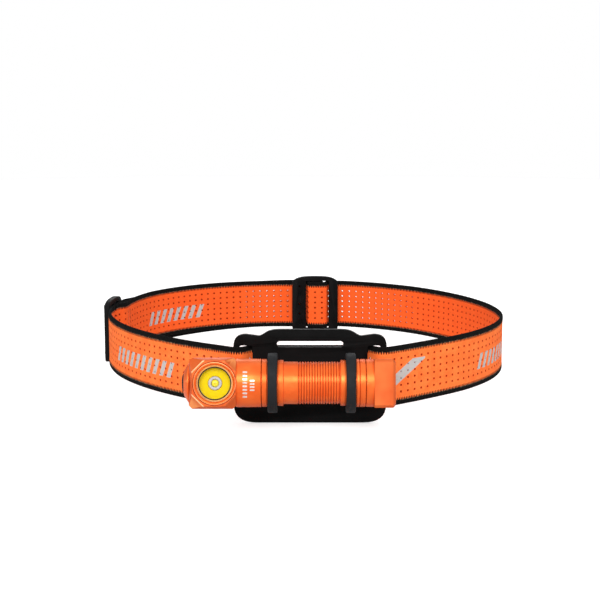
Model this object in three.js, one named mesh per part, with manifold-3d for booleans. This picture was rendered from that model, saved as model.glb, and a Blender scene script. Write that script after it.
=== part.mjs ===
// A headlamp: a right-angle aluminium lamp held by two silicone loops on a mount plate,
// worn on a perforated elastic strap with two identical sliders.
// Millimetres, +Z up, the lamp faces -Y. The origin is under the middle of the object,
// on the level of its lowest edge.

import * as THREE from 'three';
import { mergeVertices } from 'three/addons/utils/BufferGeometryUtils.js';
import { ConvexGeometry } from 'three/addons/geometries/ConvexGeometry.js';
import Module from 'manifold-3d';

const wasm = await Module();
wasm.setup();

// ---- Driving dimensions ----

const GAP = 0.3;                  // air between neighbouring pieces
const ROUND = 32;                 // segments of a turned piece

// Strap
const STRAP_WIDTH = 25;
const STRAP_THICK = 1.4;
const STRAP_STEP = 4;             // length of one straight stretch of a bend
const LAYER = STRAP_THICK + GAP;  // from one layer's middle to the next
const STRETCH = 13;               // elastic length left free on each side of a slider
const OUTER_SAG = 1.7;            // how far the outer layer droops between the sliders

// Mount plate, centred on the strap's height
const PLATE_X = 2.8;
const PLATE_FRONT_Y = -103;
const PLATE_THICK = 2;
const PLATE_HALF = 31.2;
const PLATE_BOTTOM = -19.4;
const PLATE_TOP = 19.4;
const EAR_TOP = 17.4;
const SIDE_SLOT_IN = 23.4;
const SIDE_SLOT_OUT = 28.8;
const SIDE_SLOT_HALF = 12.8;
const TOP_SLOT_HALF = 13.5;
const TOP_SLOT_LOW = 12.1;
const TOP_SLOT_HIGH = 14.6;

// Lamp: its own frame has x along the tube and -y towards the beam
const LAMP_Y = -118.3;
const LAMP_Z = 0.7;
const LAMP_TILT = 11;             // degrees, beam turned up
const HEAD_LEFT = -44.9;
const HEAD_RIGHT = -26.3;
const HEAD_HALF = 10;
const NECK_RADIUS = 9.6;
const NECK_END = -16.6;
const OPTIC_X = -34.7;
const TUBE_BORE = 7.4;
const TUBE_MALE = 8.2;
const SCREW_BORE = 8.5;
const TUBE_LEFT = -16.3;
const TUBE_RIGHT = 24.5;
const TAIL_LEFT = 24.8;
const TAIL_SQUARE = 27.8;
const TAIL_END = 36.2;
const TAIL_HALF = 9.5;

// Loops that hold the lamp
const LOOP_XS = [-12.15, 18.75];
const LOOP_WIDTH = 4.1;
const LOOP_FOOT = 7;              // half the height of the foot set into the plate
const POCKET_DEPTH = 1;           // of the pocket in the plate that holds the foot
const LOOP_IN = 9.3;
const LOOP_OUT = 11.9;
const SEAT_RADIUS = 9.0;

// Sliders
const SLIDER_HALF = 12.2;
const SLIDER_THICK = 2.4;
const SLIDER_TOP = 15.2;
const SLIDER_BOTTOM = -14.3;
const WINDOW_LEFT = -4.8;
const WINDOW_RIGHT = 7.3;
const WINDOW_HALF = 12.8;
const BAR_LEFT = -0.25;           // the thin middle bar lies on the straps' side
const BAR_RIGHT = 2.75;
const BAR_LOW = 0;
const BACK_SLIDER = { x: 6.8, y: 77.2, turn: 0 };
const LEFT_SLIDER = { x: -91.6, y: 5, turn: -97 };

// ---- Materials ----

const material = (color, roughness, metalness) =>
  new THREE.MeshStandardMaterial({ color, roughness, metalness });
const anodised = material(0xf2601c, 0.35, 0.7);
const webbing = material(0xff6a2c, 0.9, 0);
const silicone = material(0x2c2f33, 0.7, 0);
const blackPlastic = material(0x151515, 0.5, 0);
const blackRubber = material(0x111111, 0.8, 0);
const glass = material(0xdfe8ea, 0.05, 0);
const clearPlastic = material(0xf4ee40, 0.1, 0);
const phosphor = material(0xf5e216, 0.5, 0);
const whitePlastic = material(0xe8e8e4, 0.6, 0);
const circuitBoard = material(0x1d5a34, 0.5, 0);
const copper = material(0xb87333, 0.3, 1);
const brass = material(0xc9a24a, 0.3, 1);
const steel = material(0xb8bcc0, 0.3, 1);
const batterySleeve = material(0x2a4f86, 0.5, 0);

// ---- Solids ----

function toManifold(geometry) {
  const plain = geometry.clone();
  plain.deleteAttribute('normal');
  plain.deleteAttribute('uv');
  const merged = mergeVertices(plain, 1e-4);
  const vertProperties = new Float32Array(merged.attributes.position.array);
  const triVerts = new Uint32Array(merged.index.array);
  return new wasm.Manifold(new wasm.Mesh({ numProp: 3, vertProperties, triVerts }));
}

function toGeometry(manifold) {
  const mesh = manifold.getMesh();
  const geometry = new THREE.BufferGeometry();
  geometry.setAttribute('position', new THREE.BufferAttribute(mesh.vertProperties, 3));
  geometry.setIndex(new THREE.BufferAttribute(mesh.triVerts, 1));
  geometry.computeVertexNormals();
  return geometry;
}

const cut = (body, ...tools) =>
  toGeometry(tools.reduce((rest, tool) => rest.subtract(toManifold(tool)), toManifold(body)));
const join = (...bodies) =>
  toGeometry(bodies.map(toManifold).reduce((sum, body) => sum.add(body)));
const common = (a, b) => toGeometry(toManifold(a).intersect(toManifold(b)));

// A solid of revolution about the X axis. The outline is a list of [x, radius].
function turned(outline, segments = ROUND) {
  const points = outline.map(([x, radius]) => new THREE.Vector2(radius, x));
  return new THREE.LatheGeometry(points, segments).rotateZ(-Math.PI / 2);
}

const rod = (left, right, radius, segments = ROUND) =>
  turned([[left, 0], [left, radius], [right, radius], [right, 0]], segments);
const tube = (left, right, inner, outer, segments = ROUND) =>
  turned([[left, inner], [left, outer], [right, outer], [right, inner], [left, inner]], segments);

// Turns a piece made about X so that it stands on the beam's axis. Its x becomes -y.
const onBeam = (geometry) => geometry.rotateZ(-Math.PI / 2).translate(OPTIC_X, 0, 0);
const beamRod = (back, front, radius) => onBeam(rod(back, front, radius));

function box(x0, x1, y0, y1, z0, z1) {
  const geometry = new THREE.BoxGeometry(x1 - x0, y1 - y0, z1 - z0);
  return geometry.translate((x0 + x1) / 2, (y0 + y1) / 2, (z0 + z1) / 2);
}

function torus(x, ringRadius, wireRadius) {
  const geometry = new THREE.TorusGeometry(ringRadius, wireRadius, 8, ROUND);
  return geometry.rotateY(Math.PI / 2).translate(x, 0, 0);
}

// Extrudes an outline drawn in X and Z along Y, from yFront to yBack.
function plateSolid(shape, yFront, yBack) {
  const geometry = new THREE.ExtrudeGeometry(shape,
    { depth: yBack - yFront, bevelEnabled: false, curveSegments: 8 });
  return geometry.rotateX(Math.PI / 2).translate(0, yBack, 0);
}

function roundedHole(x0, x1, z0, z1, radius) {
  const hole = new THREE.Path();
  hole.absarc(x1 - radius, z1 - radius, radius, 0, Math.PI / 2);
  hole.absarc(x0 + radius, z1 - radius, radius, Math.PI / 2, Math.PI);
  hole.absarc(x0 + radius, z0 + radius, radius, Math.PI, Math.PI * 1.5);
  hole.absarc(x1 - radius, z0 + radius, radius, Math.PI * 1.5, Math.PI * 2);
  return hole;
}

// ---- Strap: upright ribbons that follow a path in plan ----

const v2 = (x, y) => new THREE.Vector2(x, y);

function smoothPath(points) {
  const knots = points.map(([x, y]) => new THREE.Vector3(x, y, 0));
  return new THREE.CatmullRomCurve3(knots, false, 'centripetal');
}

// The points of a smooth path between two distances along it.
function stretchOf(curve, from, to) {
  const length = curve.getLength();
  const steps = Math.max(2, Math.round((to - from) / STRAP_STEP));
  const points = [];
  for (let i = 0; i <= steps; i += 1) {
    const point = curve.getPointAt((from + (to - from) * i / steps) / length);
    points.push(v2(point.x, point.y));
  }
  return points;
}

function sideways(points, i) {
  const before = points[Math.max(0, i - 1)];
  const after = points[Math.min(points.length - 1, i + 1)];
  const along = after.clone().sub(before).normalize();
  return v2(-along.y, along.x);
}

// A straight or bent strap with upright sides. droop(i / steps) lowers it along the way.
function ribbon(points, droop = () => 0) {
  const half = STRAP_THICK / 2;
  const left = points.map((p, i) => p.clone().addScaledVector(sideways(points, i), half));
  const right = points.map((p, i) => p.clone().addScaledVector(sideways(points, i), -half));
  const position = [];
  points.forEach((point, i) => {
    const low = -STRAP_WIDTH / 2 - droop(i / (points.length - 1));
    for (const corner of [right[i], left[i]]) position.push(corner.x, corner.y, low);
    for (const corner of [left[i], right[i]]) position.push(corner.x, corner.y, low + STRAP_WIDTH);
  });
  const index = [0, 2, 1, 0, 3, 2];
  for (let i = 0; i < points.length - 1; i += 1) {
    for (let side = 0; side < 4; side += 1) {
      const a = 4 * i + side;
      const b = 4 * i + (side + 1) % 4;
      index.push(a, b, a + 4, b, b + 4, a + 4);
    }
  }
  const last = 4 * (points.length - 1);
  index.push(last, last + 1, last + 2, last, last + 2, last + 3);
  const geometry = new THREE.BufferGeometry();
  geometry.setAttribute('position', new THREE.Float32BufferAttribute(position, 3));
  geometry.setIndex(index);
  geometry.computeVertexNormals();
  return geometry;
}

// A point in a slider's frame, where u runs towards the single strap and v towards the
// side on which the straps lie.
function atSlider(slider, u, v) {
  const turn = THREE.MathUtils.degToRad(slider.turn);
  return v2(slider.x + u * Math.cos(turn) - v * Math.sin(turn),
    slider.y + u * Math.sin(turn) + v * Math.cos(turn));
}

const FACE_V = SLIDER_THICK / 2;
const PASS_V = FACE_V + GAP + STRAP_THICK / 2;    // the strap that passes over the bars
const SEWN_V = PASS_V + LAYER + STRAP_THICK;      // the strap sewn to the middle bar
const TURNED_V = PASS_V + LAYER;                  // its turned-back end
const JOIN_U = SLIDER_HALF + 0.6;                 // where the elastic lengths begin

const pair = (point) => [point.x, point.y];

// Single strap: from the back slider round one side, in front of the mount plate's end bar,
// through its slot and behind its middle, and out again to the left slider.
const behindPlate = PLATE_FRONT_Y + PLATE_THICK + GAP + STRAP_THICK / 2;
const beforePlate = PLATE_FRONT_Y - GAP - STRAP_THICK / 2;
const rightPath = smoothPath([
  pair(atSlider(BACK_SLIDER, JOIN_U, PASS_V)),
  [25, 78.2], [41, 70.9], [58.2, 58.2], [72.1, 41.6], [83, 22.2],
  [90.2, 0], [91.8, -24.6], [85.2, -49.2], [71.3, -71.3], [51.9, -89.9],
  [PLATE_X + PLATE_HALF + 3, beforePlate + 2],
]);
const leftPath = smoothPath([
  [PLATE_X - PLATE_HALF - 3, beforePlate + 2],
  [-50.6, -87.6], [-68.5, -68.5], [-81.6, -47.1], [-89.1, -24],
  pair(atSlider(LEFT_SLIDER, JOIN_U, PASS_V)),
]);

// The S-bend through a side slot, from the outside in. side is 1 on the right, -1 on the left.
function slotCrossing(side) {
  const centre = (SIDE_SLOT_IN + SIDE_SLOT_OUT) / 2;
  const middleY = (beforePlate + behindPlate) / 2;
  const halfDepth = (behindPlate - beforePlate) / 2;
  const bend = [[5.4, -0.94], [2.9, -1], [1.5, -0.8], [0.7, -0.42],
    [-0.7, 0.42], [-1.5, 0.8], [-2.9, 1]];
  return bend.map(([out, depth]) =>
    v2(PLATE_X + side * (centre + out), middleY + depth * halfDepth));
}

// The two layers between the sliders.
const innerPath = smoothPath([
  pair(atSlider(BACK_SLIDER, -JOIN_U, PASS_V)),
  [-20, 78.9], [-42.1, 73], [-61, 61], [-75.7, 43.7], [-82.2, 28],
  pair(atSlider(LEFT_SLIDER, -JOIN_U, SEWN_V)),
]);
const outerPath = smoothPath([
  pair(atSlider(BACK_SLIDER, -JOIN_U, SEWN_V)),
  [-20, 80.9], [-42.9, 74.6], [-62.2, 62.3], [-77.2, 44.6], [-84.2, 28.6],
  pair(atSlider(LEFT_SLIDER, -JOIN_U, PASS_V)),
]);

const droopAlongOuter = (t) => OUTER_SAG * Math.sin(Math.PI * Math.min(1, Math.max(0, t)) ** 1.5);

// ---- The object ----

const headlamp = new THREE.Group();
headlamp.name = 'headlamp';

function add(group, name, geometry, look) {
  const mesh = new THREE.Mesh(geometry, look);
  mesh.name = name;
  group.add(mesh);
  return mesh;
}

function buildMountPlate() {
  const outline = new THREE.Shape();
  outline.moveTo(PLATE_HALF, -12);
  outline.lineTo(PLATE_HALF, EAR_TOP - 5);
  outline.quadraticCurveTo(PLATE_HALF, EAR_TOP, PLATE_HALF - 5.2, EAR_TOP);
  outline.lineTo(20.8, EAR_TOP - 0.7);
  outline.bezierCurveTo(18.4, EAR_TOP - 0.4, 18.2, PLATE_TOP, 12.5, PLATE_TOP);
  outline.lineTo(-12.5, PLATE_TOP);
  outline.bezierCurveTo(-18.2, PLATE_TOP, -18.4, EAR_TOP - 0.4, -20.8, EAR_TOP - 0.7);
  outline.lineTo(-PLATE_HALF + 5.2, EAR_TOP);
  outline.quadraticCurveTo(-PLATE_HALF, EAR_TOP, -PLATE_HALF, EAR_TOP - 5);
  outline.lineTo(-PLATE_HALF, -12);
  outline.quadraticCurveTo(-PLATE_HALF + 0.2, PLATE_BOTTOM, -22, PLATE_BOTTOM);
  outline.lineTo(22, PLATE_BOTTOM);
  outline.quadraticCurveTo(PLATE_HALF - 0.2, PLATE_BOTTOM, PLATE_HALF, -12);
  outline.holes.push(
    roundedHole(SIDE_SLOT_IN, SIDE_SLOT_OUT, -SIDE_SLOT_HALF, SIDE_SLOT_HALF, 1),
    roundedHole(-SIDE_SLOT_OUT, -SIDE_SLOT_IN, -SIDE_SLOT_HALF, SIDE_SLOT_HALF, 1),
    roundedHole(-TOP_SLOT_HALF, TOP_SLOT_HALF, TOP_SLOT_LOW, TOP_SLOT_HIGH, 1.2),
  );
  const plate = plateSolid(outline, PLATE_FRONT_Y, PLATE_FRONT_Y + PLATE_THICK);
  plate.translate(PLATE_X, 0, 0);
  const pockets = LOOP_XS.map((x) =>
    box(x - LOOP_WIDTH / 2 - GAP, x + LOOP_WIDTH / 2 + GAP,
      PLATE_FRONT_Y - POCKET_DEPTH, PLATE_FRONT_Y + POCKET_DEPTH,
      -LOOP_FOOT - GAP, LOOP_FOOT + GAP));
  add(headlamp, 'mount_plate', cut(plate, ...pockets), blackPlastic);
}

function buildLoops() {
  const names = ['retaining_loop_head', 'retaining_loop_tail'];
  names.forEach((name, i) => {
    const left = LOOP_XS[i] - LOOP_WIDTH / 2;
    const right = LOOP_XS[i] + LOOP_WIDTH / 2;
    const ring = tube(left, right, LOOP_IN, LOOP_OUT).translate(0, LAMP_Y, LAMP_Z);
    const stem = box(left, right, LAMP_Y + LOOP_IN + 0.6,
      PLATE_FRONT_Y + POCKET_DEPTH - GAP, -LOOP_FOOT, LOOP_FOOT);
    const opening = rod(left - 1, right + 1, LOOP_IN).translate(0, LAMP_Y, LAMP_Z);
    add(headlamp, name, cut(join(ring, stem), opening), silicone);
  });
}

// ---- Lamp ----

const lamp = new THREE.Group();
lamp.position.set(0, LAMP_Y, LAMP_Z);
lamp.rotation.x = -THREE.MathUtils.degToRad(LAMP_TILT);
headlamp.add(lamp);

// A block with a flat front, top and bottom and a round back.
function roundBackedBlock(left, right, half) {
  const back = rod(left, right, half);
  return join(back, box(left, right, -half, 0, -half, half));
}

function corners(x0, x1, half, chamfer, y) {
  const points = [];
  for (const z of [-1, 1]) {
    points.push([x0, z * (half - chamfer)], [x0 + chamfer, z * half],
      [x1 - chamfer, z * half], [x1, z * (half - chamfer)]);
  }
  return points.map(([x, z]) => new THREE.Vector3(x, y, z));
}

const DRIVER_POCKET = -25.9;
const DRIVER_SEAT = -24.2;
const DRIVER_BORE = 7.7;
const SWITCH_POCKET = -43.1;
const SWITCH_BORE = 5.6;
const OPTIC_FLOOR = 0.5;          // the optic's bore stops this far in front of the tube's axis
const OPTIC_BORE = 7.8;
const BEZEL_BORE = 8.6;
const BEZEL_SEAT = HEAD_HALF - 1.5;
const LEAD_Y = 5;
const LEAD_BORE = 1.1;
const WIRE_LEFT = -29.5;
const WIRE_BORE = 0.9;
const WIRE_Y = -1.4;
const WIRE_Z = 5;
const FACET = 4.5;                // cut corners of the head's front
const SMALL_ROUND = 12;           // segments of thin bores and wires

function buildHeadHousing() {
  const bevelled = new ConvexGeometry([
    ...corners(HEAD_LEFT + 1.2, HEAD_RIGHT, HEAD_HALF - 0.9, FACET, -HEAD_HALF),
    ...corners(HEAD_LEFT, HEAD_RIGHT, HEAD_HALF, 0.8, -HEAD_HALF + 3.2),
    ...corners(HEAD_LEFT, HEAD_RIGHT, HEAD_HALF, 0.8, HEAD_HALF),
  ]);
  const block = common(bevelled, roundBackedBlock(HEAD_LEFT, HEAD_RIGHT, HEAD_HALF));
  const neck = turned([[HEAD_RIGHT - 1, 0], [HEAD_RIGHT - 1, NECK_RADIUS],
    [NECK_END - 0.3, NECK_RADIUS], [NECK_END, NECK_RADIUS - 0.3], [NECK_END, 0]]);
  const housing = cut(
    join(block, neck),
    rod(DRIVER_SEAT, NECK_END + 1, SCREW_BORE),
    rod(DRIVER_POCKET, DRIVER_SEAT + 1, DRIVER_BORE),
    rod(HEAD_LEFT - 1, SWITCH_POCKET, SWITCH_BORE),
    rod(SWITCH_POCKET - 1, DRIVER_POCKET + 1, LEAD_BORE, SMALL_ROUND).translate(0, LEAD_Y, 0),
    beamRod(OPTIC_FLOOR, HEAD_HALF, OPTIC_BORE),
    beamRod(BEZEL_SEAT, HEAD_HALF + 1, BEZEL_BORE),
    rod(WIRE_LEFT, DRIVER_POCKET + 1, WIRE_BORE, SMALL_ROUND).translate(0, WIRE_Y, WIRE_Z),
    rod(WIRE_LEFT, DRIVER_POCKET + 1, WIRE_BORE, SMALL_ROUND).translate(0, WIRE_Y, -WIRE_Z),
  );
  add(lamp, 'head_housing', housing, anodised);
}

function buildBeamParts() {
  const front = HEAD_HALF + 0.25;
  const seat = BEZEL_SEAT + GAP;
  const outer = BEZEL_BORE - 0.2;
  add(lamp, 'lens_bezel', onBeam(turned([[seat, 6.5], [seat, outer],
    [front - 0.3, outer], [front, outer - 0.3], [front, 7.6], [seat, 6.5]])), anodised);
  add(lamp, 'lens_o_ring', onBeam(torus(8.35, 6.75, 0.3)), blackRubber);
  add(lamp, 'lens_window', beamRod(6.7, 7.95, OPTIC_BORE - GAP), glass);
  add(lamp, 'tir_optic', onBeam(turned([[3.5, 2.1], [2.7, 2.1], [2.7, 2.9], [4.9, 5.6],
    [5.6, 7.4], [6.4, 7.4], [6.4, 1.6], [5.2, 1.4], [4.9, 0], [4.5, 0], [3.5, 2.1]])),
  clearPlastic);
  add(lamp, 'led_gasket', onBeam(tube(2.1, 2.9, 3.2, 5)), whitePlastic);
  const chip = box(OPTIC_X - 1.4, OPTIC_X + 1.4, -2.9, -2.2, -1.4, 1.4);
  add(lamp, 'led_emitter', chip, phosphor);
  add(lamp, 'led_board', beamRod(0.8, 1.9, 7.4), copper);
}

function buildDriver() {
  add(lamp, 'driver_board', rod(-25.6, -24.6, 7.4), circuitBoard);
  add(lamp, 'driver_ring', tube(-24.4, -24.1, 6.2, 7.3), brass);
  add(lamp, 'driver_contact', rod(-24.4, -23.2, 2), brass);
  for (const [name, z] of [['led_wire_top', WIRE_Z], ['led_wire_bottom', -WIRE_Z]]) {
    const lead = rod(WIRE_LEFT + 1.1, DRIVER_POCKET, WIRE_BORE - 0.4, SMALL_ROUND);
    add(lamp, name, lead.translate(0, WIRE_Y, z), copper);
  }
}

const switchUnit = new THREE.Group();
lamp.add(switchUnit);

function buildSwitch() {
  add(switchUnit, 'switch_bezel', turned([[-46.95, 4.1], [-46.95, 5.1], [-45.5, 7.8],
    [-45.2, 7.8], [-45.2, 5.2], [-46.1, 5.2], [-46.1, 4.1], [-46.95, 4.1]]), anodised);
  add(switchUnit, 'switch_button', turned([[-48.05, 0], [-48.05, 3.1], [-47.7, 3.6],
    [-46.9, 3.8], [-45.8, 3.8], [-45.8, 4.9], [-45.2, 4.9], [-45.2, 2], [-44.9, 2],
    [-44.9, 0]]), blackRubber);
  const stem = rod(-44.1, -43.6, 1.1, 16);
  const body = box(-43.9, -43.4, -2.6, 2.6, -2.6, 2.6);
  add(switchUnit, 'tact_switch', join(body, stem), steel);
}

function buildSwitchLead() {
  const lead = rod(SWITCH_POCKET + 0.4, DRIVER_POCKET - 0.1, LEAD_BORE - 0.5, SMALL_ROUND);
  add(lamp, 'switch_lead', lead.translate(0, LEAD_Y, 0), copper);
}

// Plain ridges round a tube, one every pitch, for a screw thread or a grip.
function ridges(from, to, pitch, low, high) {
  const points = [];
  for (let x = from; x + pitch <= to + 1e-6; x += pitch) {
    points.push([x, high], [x + pitch * 0.55, low]);
  }
  return points;
}

const THREAD_PITCH = 1;
const SEAL_RADIUS = 7.75;

function buildBatteryTube() {
  const thin = 8.4;
  const groovePitch = 1.08;
  const grooves = ridges(-2.6, 12.6, groovePitch, thin - 0.3, thin);
  const outline = [
    [-23.8, TUBE_BORE], [-23.8, TUBE_MALE - 0.3],
    ...ridges(-23.4, -19.4, THREAD_PITCH, TUBE_MALE - 0.3, TUBE_MALE),
    [-19, TUBE_MALE], [-18.7, TUBE_MALE], [-18.7, SEAL_RADIUS], [-17.6, SEAL_RADIUS],
    [-17.6, TUBE_MALE], [TUBE_LEFT, TUBE_MALE], [TUBE_LEFT, 9.3], [-16, 9.5],
    [-14.4, 9.5], [-14.4, SEAT_RADIUS], [-9.9, SEAT_RADIUS], [-9.9, 9.1], [-7.9, 9.1],
    [-7.7, thin], ...grooves, [13, thin], [14.6, thin], [14.8, 9.1], [16.5, 9.1],
    [16.5, SEAT_RADIUS], [21, SEAT_RADIUS], [21, 9.5], [22.1, 9.5], [22.1, 9.1], [22.4, 9.1],
    [22.4, 9.5], [24.3, 9.5], [TUBE_RIGHT, 9.3], [TUBE_RIGHT, TUBE_MALE],
    [25.4, TUBE_MALE], [25.4, SEAL_RADIUS], [26.5, SEAL_RADIUS], [26.5, TUBE_MALE],
    [26.8, TUBE_MALE], ...ridges(27, 31, THREAD_PITCH, TUBE_MALE - 0.3, TUBE_MALE),
    [31.2, TUBE_MALE - 0.3], [31.2, TUBE_BORE], [-23.8, TUBE_BORE],
  ];
  add(lamp, 'battery_tube', turned(outline), anodised);
  add(lamp, 'head_o_ring', torus(-18.15, 8.15, 0.3), blackRubber);
  add(lamp, 'tail_o_ring', torus(25.95, 8.15, 0.3), blackRubber);
}

function buildBattery() {
  add(lamp, 'battery_can', rod(-21.4, 28.3, 6.85), steel);
  add(lamp, 'battery_sleeve', tube(-21, 28, 6.95, 7.2), batterySleeve);
  add(lamp, 'battery_nub', rod(-22.8, -21.7, 2.8), steel);
}

const tail = new THREE.Group();
lamp.add(tail);

function helixCurve(from, to, startRadius, endRadius, turns) {
  const points = [];
  const steps = turns * 12;
  for (let i = 0; i <= steps; i += 1) {
    const t = i / steps;
    const radius = startRadius + (endRadius - startRadius) * t;
    const angle = t * turns * Math.PI * 2;
    points.push(new THREE.Vector3(from + (to - from) * t,
      radius * Math.cos(angle), radius * Math.sin(angle)));
  }
  return new THREE.CatmullRomCurve3(points);
}

function wire(curve, radius, steps) {
  const section = new THREE.Shape();
  section.absarc(0, 0, radius, 0, Math.PI * 2);
  return new THREE.ExtrudeGeometry(section,
    { extrudePath: curve, steps, bevelEnabled: false, curveSegments: 3 });
}

function buildTail() {
  const chamfer = 1;
  const square = new ConvexGeometry([
    ...corners(TAIL_SQUARE - 2, TAIL_END, TAIL_HALF - chamfer, chamfer, -TAIL_HALF),
    ...corners(TAIL_SQUARE - 2, TAIL_END, TAIL_HALF, chamfer, -TAIL_HALF + chamfer),
    ...corners(TAIL_SQUARE - 2, TAIL_END, TAIL_HALF, chamfer, TAIL_HALF),
  ]);
  const block = common(square, roundBackedBlock(TAIL_SQUARE, TAIL_END, TAIL_HALF));
  const collar = turned([[TAIL_LEFT, 0], [TAIL_LEFT, 9.3], [TAIL_LEFT + 0.25, 9.5],
    [TAIL_SQUARE + 1, 9.5], [TAIL_SQUARE + 1, 0]]);
  const cap = cut(join(block, collar), rod(TAIL_LEFT - 1, 31.8, SCREW_BORE),
    rod(31, 34.9, 6.9));
  add(tail, 'tail_cap', cap, anodised);
  add(tail, 'tail_magnet', rod(33.4, 34.6, 6.5), steel);
  add(tail, 'tail_board', rod(32.1, 33.1, 6.5), circuitBoard);
  add(tail, 'tail_spring', wire(helixCurve(29, 31.4, 2.2, 5, 3), 0.35, 42), steel);
}

// ---- Sliders and the strap through them ----

function sliderFrame() {
  const outline = new THREE.Shape();
  outline.moveTo(-SLIDER_HALF, SLIDER_BOTTOM + 2.5);
  outline.quadraticCurveTo(-SLIDER_HALF, SLIDER_BOTTOM, -SLIDER_HALF + 2.5, SLIDER_BOTTOM);
  outline.lineTo(SLIDER_HALF - 2.5, SLIDER_BOTTOM);
  outline.quadraticCurveTo(SLIDER_HALF, SLIDER_BOTTOM, SLIDER_HALF, SLIDER_BOTTOM + 2.5);
  outline.lineTo(SLIDER_HALF, SLIDER_TOP - 3.2);
  outline.bezierCurveTo(SLIDER_HALF - 2, SLIDER_TOP, 5, SLIDER_TOP, 0, SLIDER_TOP);
  outline.bezierCurveTo(-5, SLIDER_TOP, -SLIDER_HALF + 2, SLIDER_TOP, -SLIDER_HALF,
    SLIDER_TOP - 3.2);
  outline.closePath();
  outline.holes.push(roundedHole(WINDOW_LEFT, WINDOW_RIGHT, -WINDOW_HALF, WINDOW_HALF, 0.3));
  const barEnd = WINDOW_HALF + 0.6;
  const bar = box(BAR_LEFT, BAR_RIGHT, BAR_LOW, FACE_V, -barEnd, barEnd);
  return join(plateSolid(outline, -FACE_V, FACE_V), bar);
}

function quarterTurn(centre, radius, fromDegrees, toDegrees) {
  const steps = 4;
  const points = [];
  for (let i = 0; i <= steps; i += 1) {
    const angle = THREE.MathUtils.degToRad(fromDegrees + (toDegrees - fromDegrees) * i / steps);
    points.push(v2(centre[0] + radius * Math.cos(angle), centre[1] + radius * Math.sin(angle)));
  }
  return points;
}

// The strap that passes outside the two outer bars and over the middle one.
function weavePoints() {
  const bend = 1.5;
  const overBar = BAR_LOW - GAP - LAYER - STRAP_THICK / 2;
  const leftU = -3.4;
  const rightU = 5.9;
  const low = overBar + 1.7;
  return [
    v2(-SLIDER_HALF - GAP, PASS_V),
    ...quarterTurn([leftU - bend, PASS_V - bend], bend, 90, 0),
    ...quarterTurn([leftU + 1.7, low], 1.7, 180, 270),
    ...quarterTurn([rightU - 1.7, low], 1.7, 270, 360),
    ...quarterTurn([rightU + bend, PASS_V - bend], bend, 180, 90),
    v2(SLIDER_HALF + GAP, PASS_V),
  ];
}

// The sewn end: the strap comes in above the passing strap, goes once round the middle bar,
// and its turned-back end is sewn under it.
function sewnEnd() {
  const near = GAP + STRAP_THICK / 2;
  const incoming = [
    v2(-SLIDER_HALF - GAP, SEWN_V), v2(-5, SEWN_V), v2(-2.9, SEWN_V - 0.6), v2(-1.2, 3.6),
    v2(0.2, PASS_V + 0.2), v2(1.2, PASS_V),
    ...quarterTurn([BAR_RIGHT, FACE_V], near, 90, 0),
    ...quarterTurn([BAR_RIGHT, BAR_LOW], near, 0, -90),
    ...quarterTurn([BAR_LEFT, BAR_LOW], near, 270, 180),
    v2(BAR_LEFT - near, FACE_V - 0.2),
  ];
  const turnedBack = [
    v2(BAR_LEFT - near, FACE_V - 0.5), v2(BAR_LEFT - near, FACE_V + 0.3),
    v2(-1.9, 2.7), v2(-3.3, TURNED_V - 0.15), v2(-5, TURNED_V + 0.02),
    v2(-11.4, TURNED_V + 0.02),
  ];
  return join(ribbon(incoming), ribbon(turnedBack));
}

function buildSlider(slider, side) {
  const group = new THREE.Group();
  group.position.set(slider.x, slider.y, 0);
  group.rotation.z = THREE.MathUtils.degToRad(slider.turn);
  headlamp.add(group);
  add(group, `${side}_slider`, sliderFrame(), blackPlastic);
  add(group, `strap_${side}_weave`, ribbon(weavePoints()), webbing);
  add(group, `strap_${side}_sewn_end`, sewnEnd(), webbing);
}

// ---- Strap lengths between the sliders ----

function addStrap(name, curve, from, to, droop) {
  add(headlamp, name, ribbon(stretchOf(curve, from, to), droop), webbing);
}

function buildStraps() {
  const rightEnd = rightPath.getLength();
  const leftEnd = leftPath.getLength();
  addStrap('strap_back_stretch', rightPath, 0, STRETCH);
  add(headlamp, 'strap_front', ribbon([
    ...stretchOf(rightPath, STRETCH + GAP, rightEnd),
    ...slotCrossing(1), ...slotCrossing(-1).reverse(),
    ...stretchOf(leftPath, 0, leftEnd - STRETCH - GAP),
  ]), webbing);
  addStrap('strap_left_stretch', leftPath, leftEnd - STRETCH, leftEnd);
  const layers = [['inner', innerPath, () => 0], ['outer', outerPath, droopAlongOuter]];
  for (const [layer, curve, droop] of layers) {
    const length = curve.getLength();
    const at = (from, to) => (t) => droop((from + (to - from) * t) / length);
    const near = STRETCH;
    const far = length - STRETCH;
    addStrap(`strap_${layer}_back_stretch`, curve, 0, near, at(0, near));
    addStrap(`strap_${layer}_layer`, curve, near + GAP, far - GAP, at(near + GAP, far - GAP));
    addStrap(`strap_${layer}_left_stretch`, curve, far, length, at(far, length));
  }
}

buildMountPlate();
buildLoops();
buildHeadHousing();
buildBeamParts();
buildDriver();
buildSwitch();
buildSwitchLead();
buildBatteryTube();
buildBattery();
buildTail();
buildSlider(BACK_SLIDER, 'back');
buildSlider(LEFT_SLIDER, 'left');
buildStraps();

// Stand the object on its lowest edge, centred on the origin.
headlamp.updateMatrixWorld(true);
const bounds = new THREE.Box3().setFromObject(headlamp, true);
const middle = bounds.getCenter(new THREE.Vector3());
headlamp.position.set(-middle.x, -middle.y, -bounds.min.z);

export default headlamp;
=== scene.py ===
"""Looks for the headlamp: perforated elastic strap, anodised lamp, silicone loops,
mount plate and two sliders, in a pale studio. Metres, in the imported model's frame."""

import math

import bmesh
import bpy
import numpy as np
from mathutils import Matrix, Vector


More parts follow.
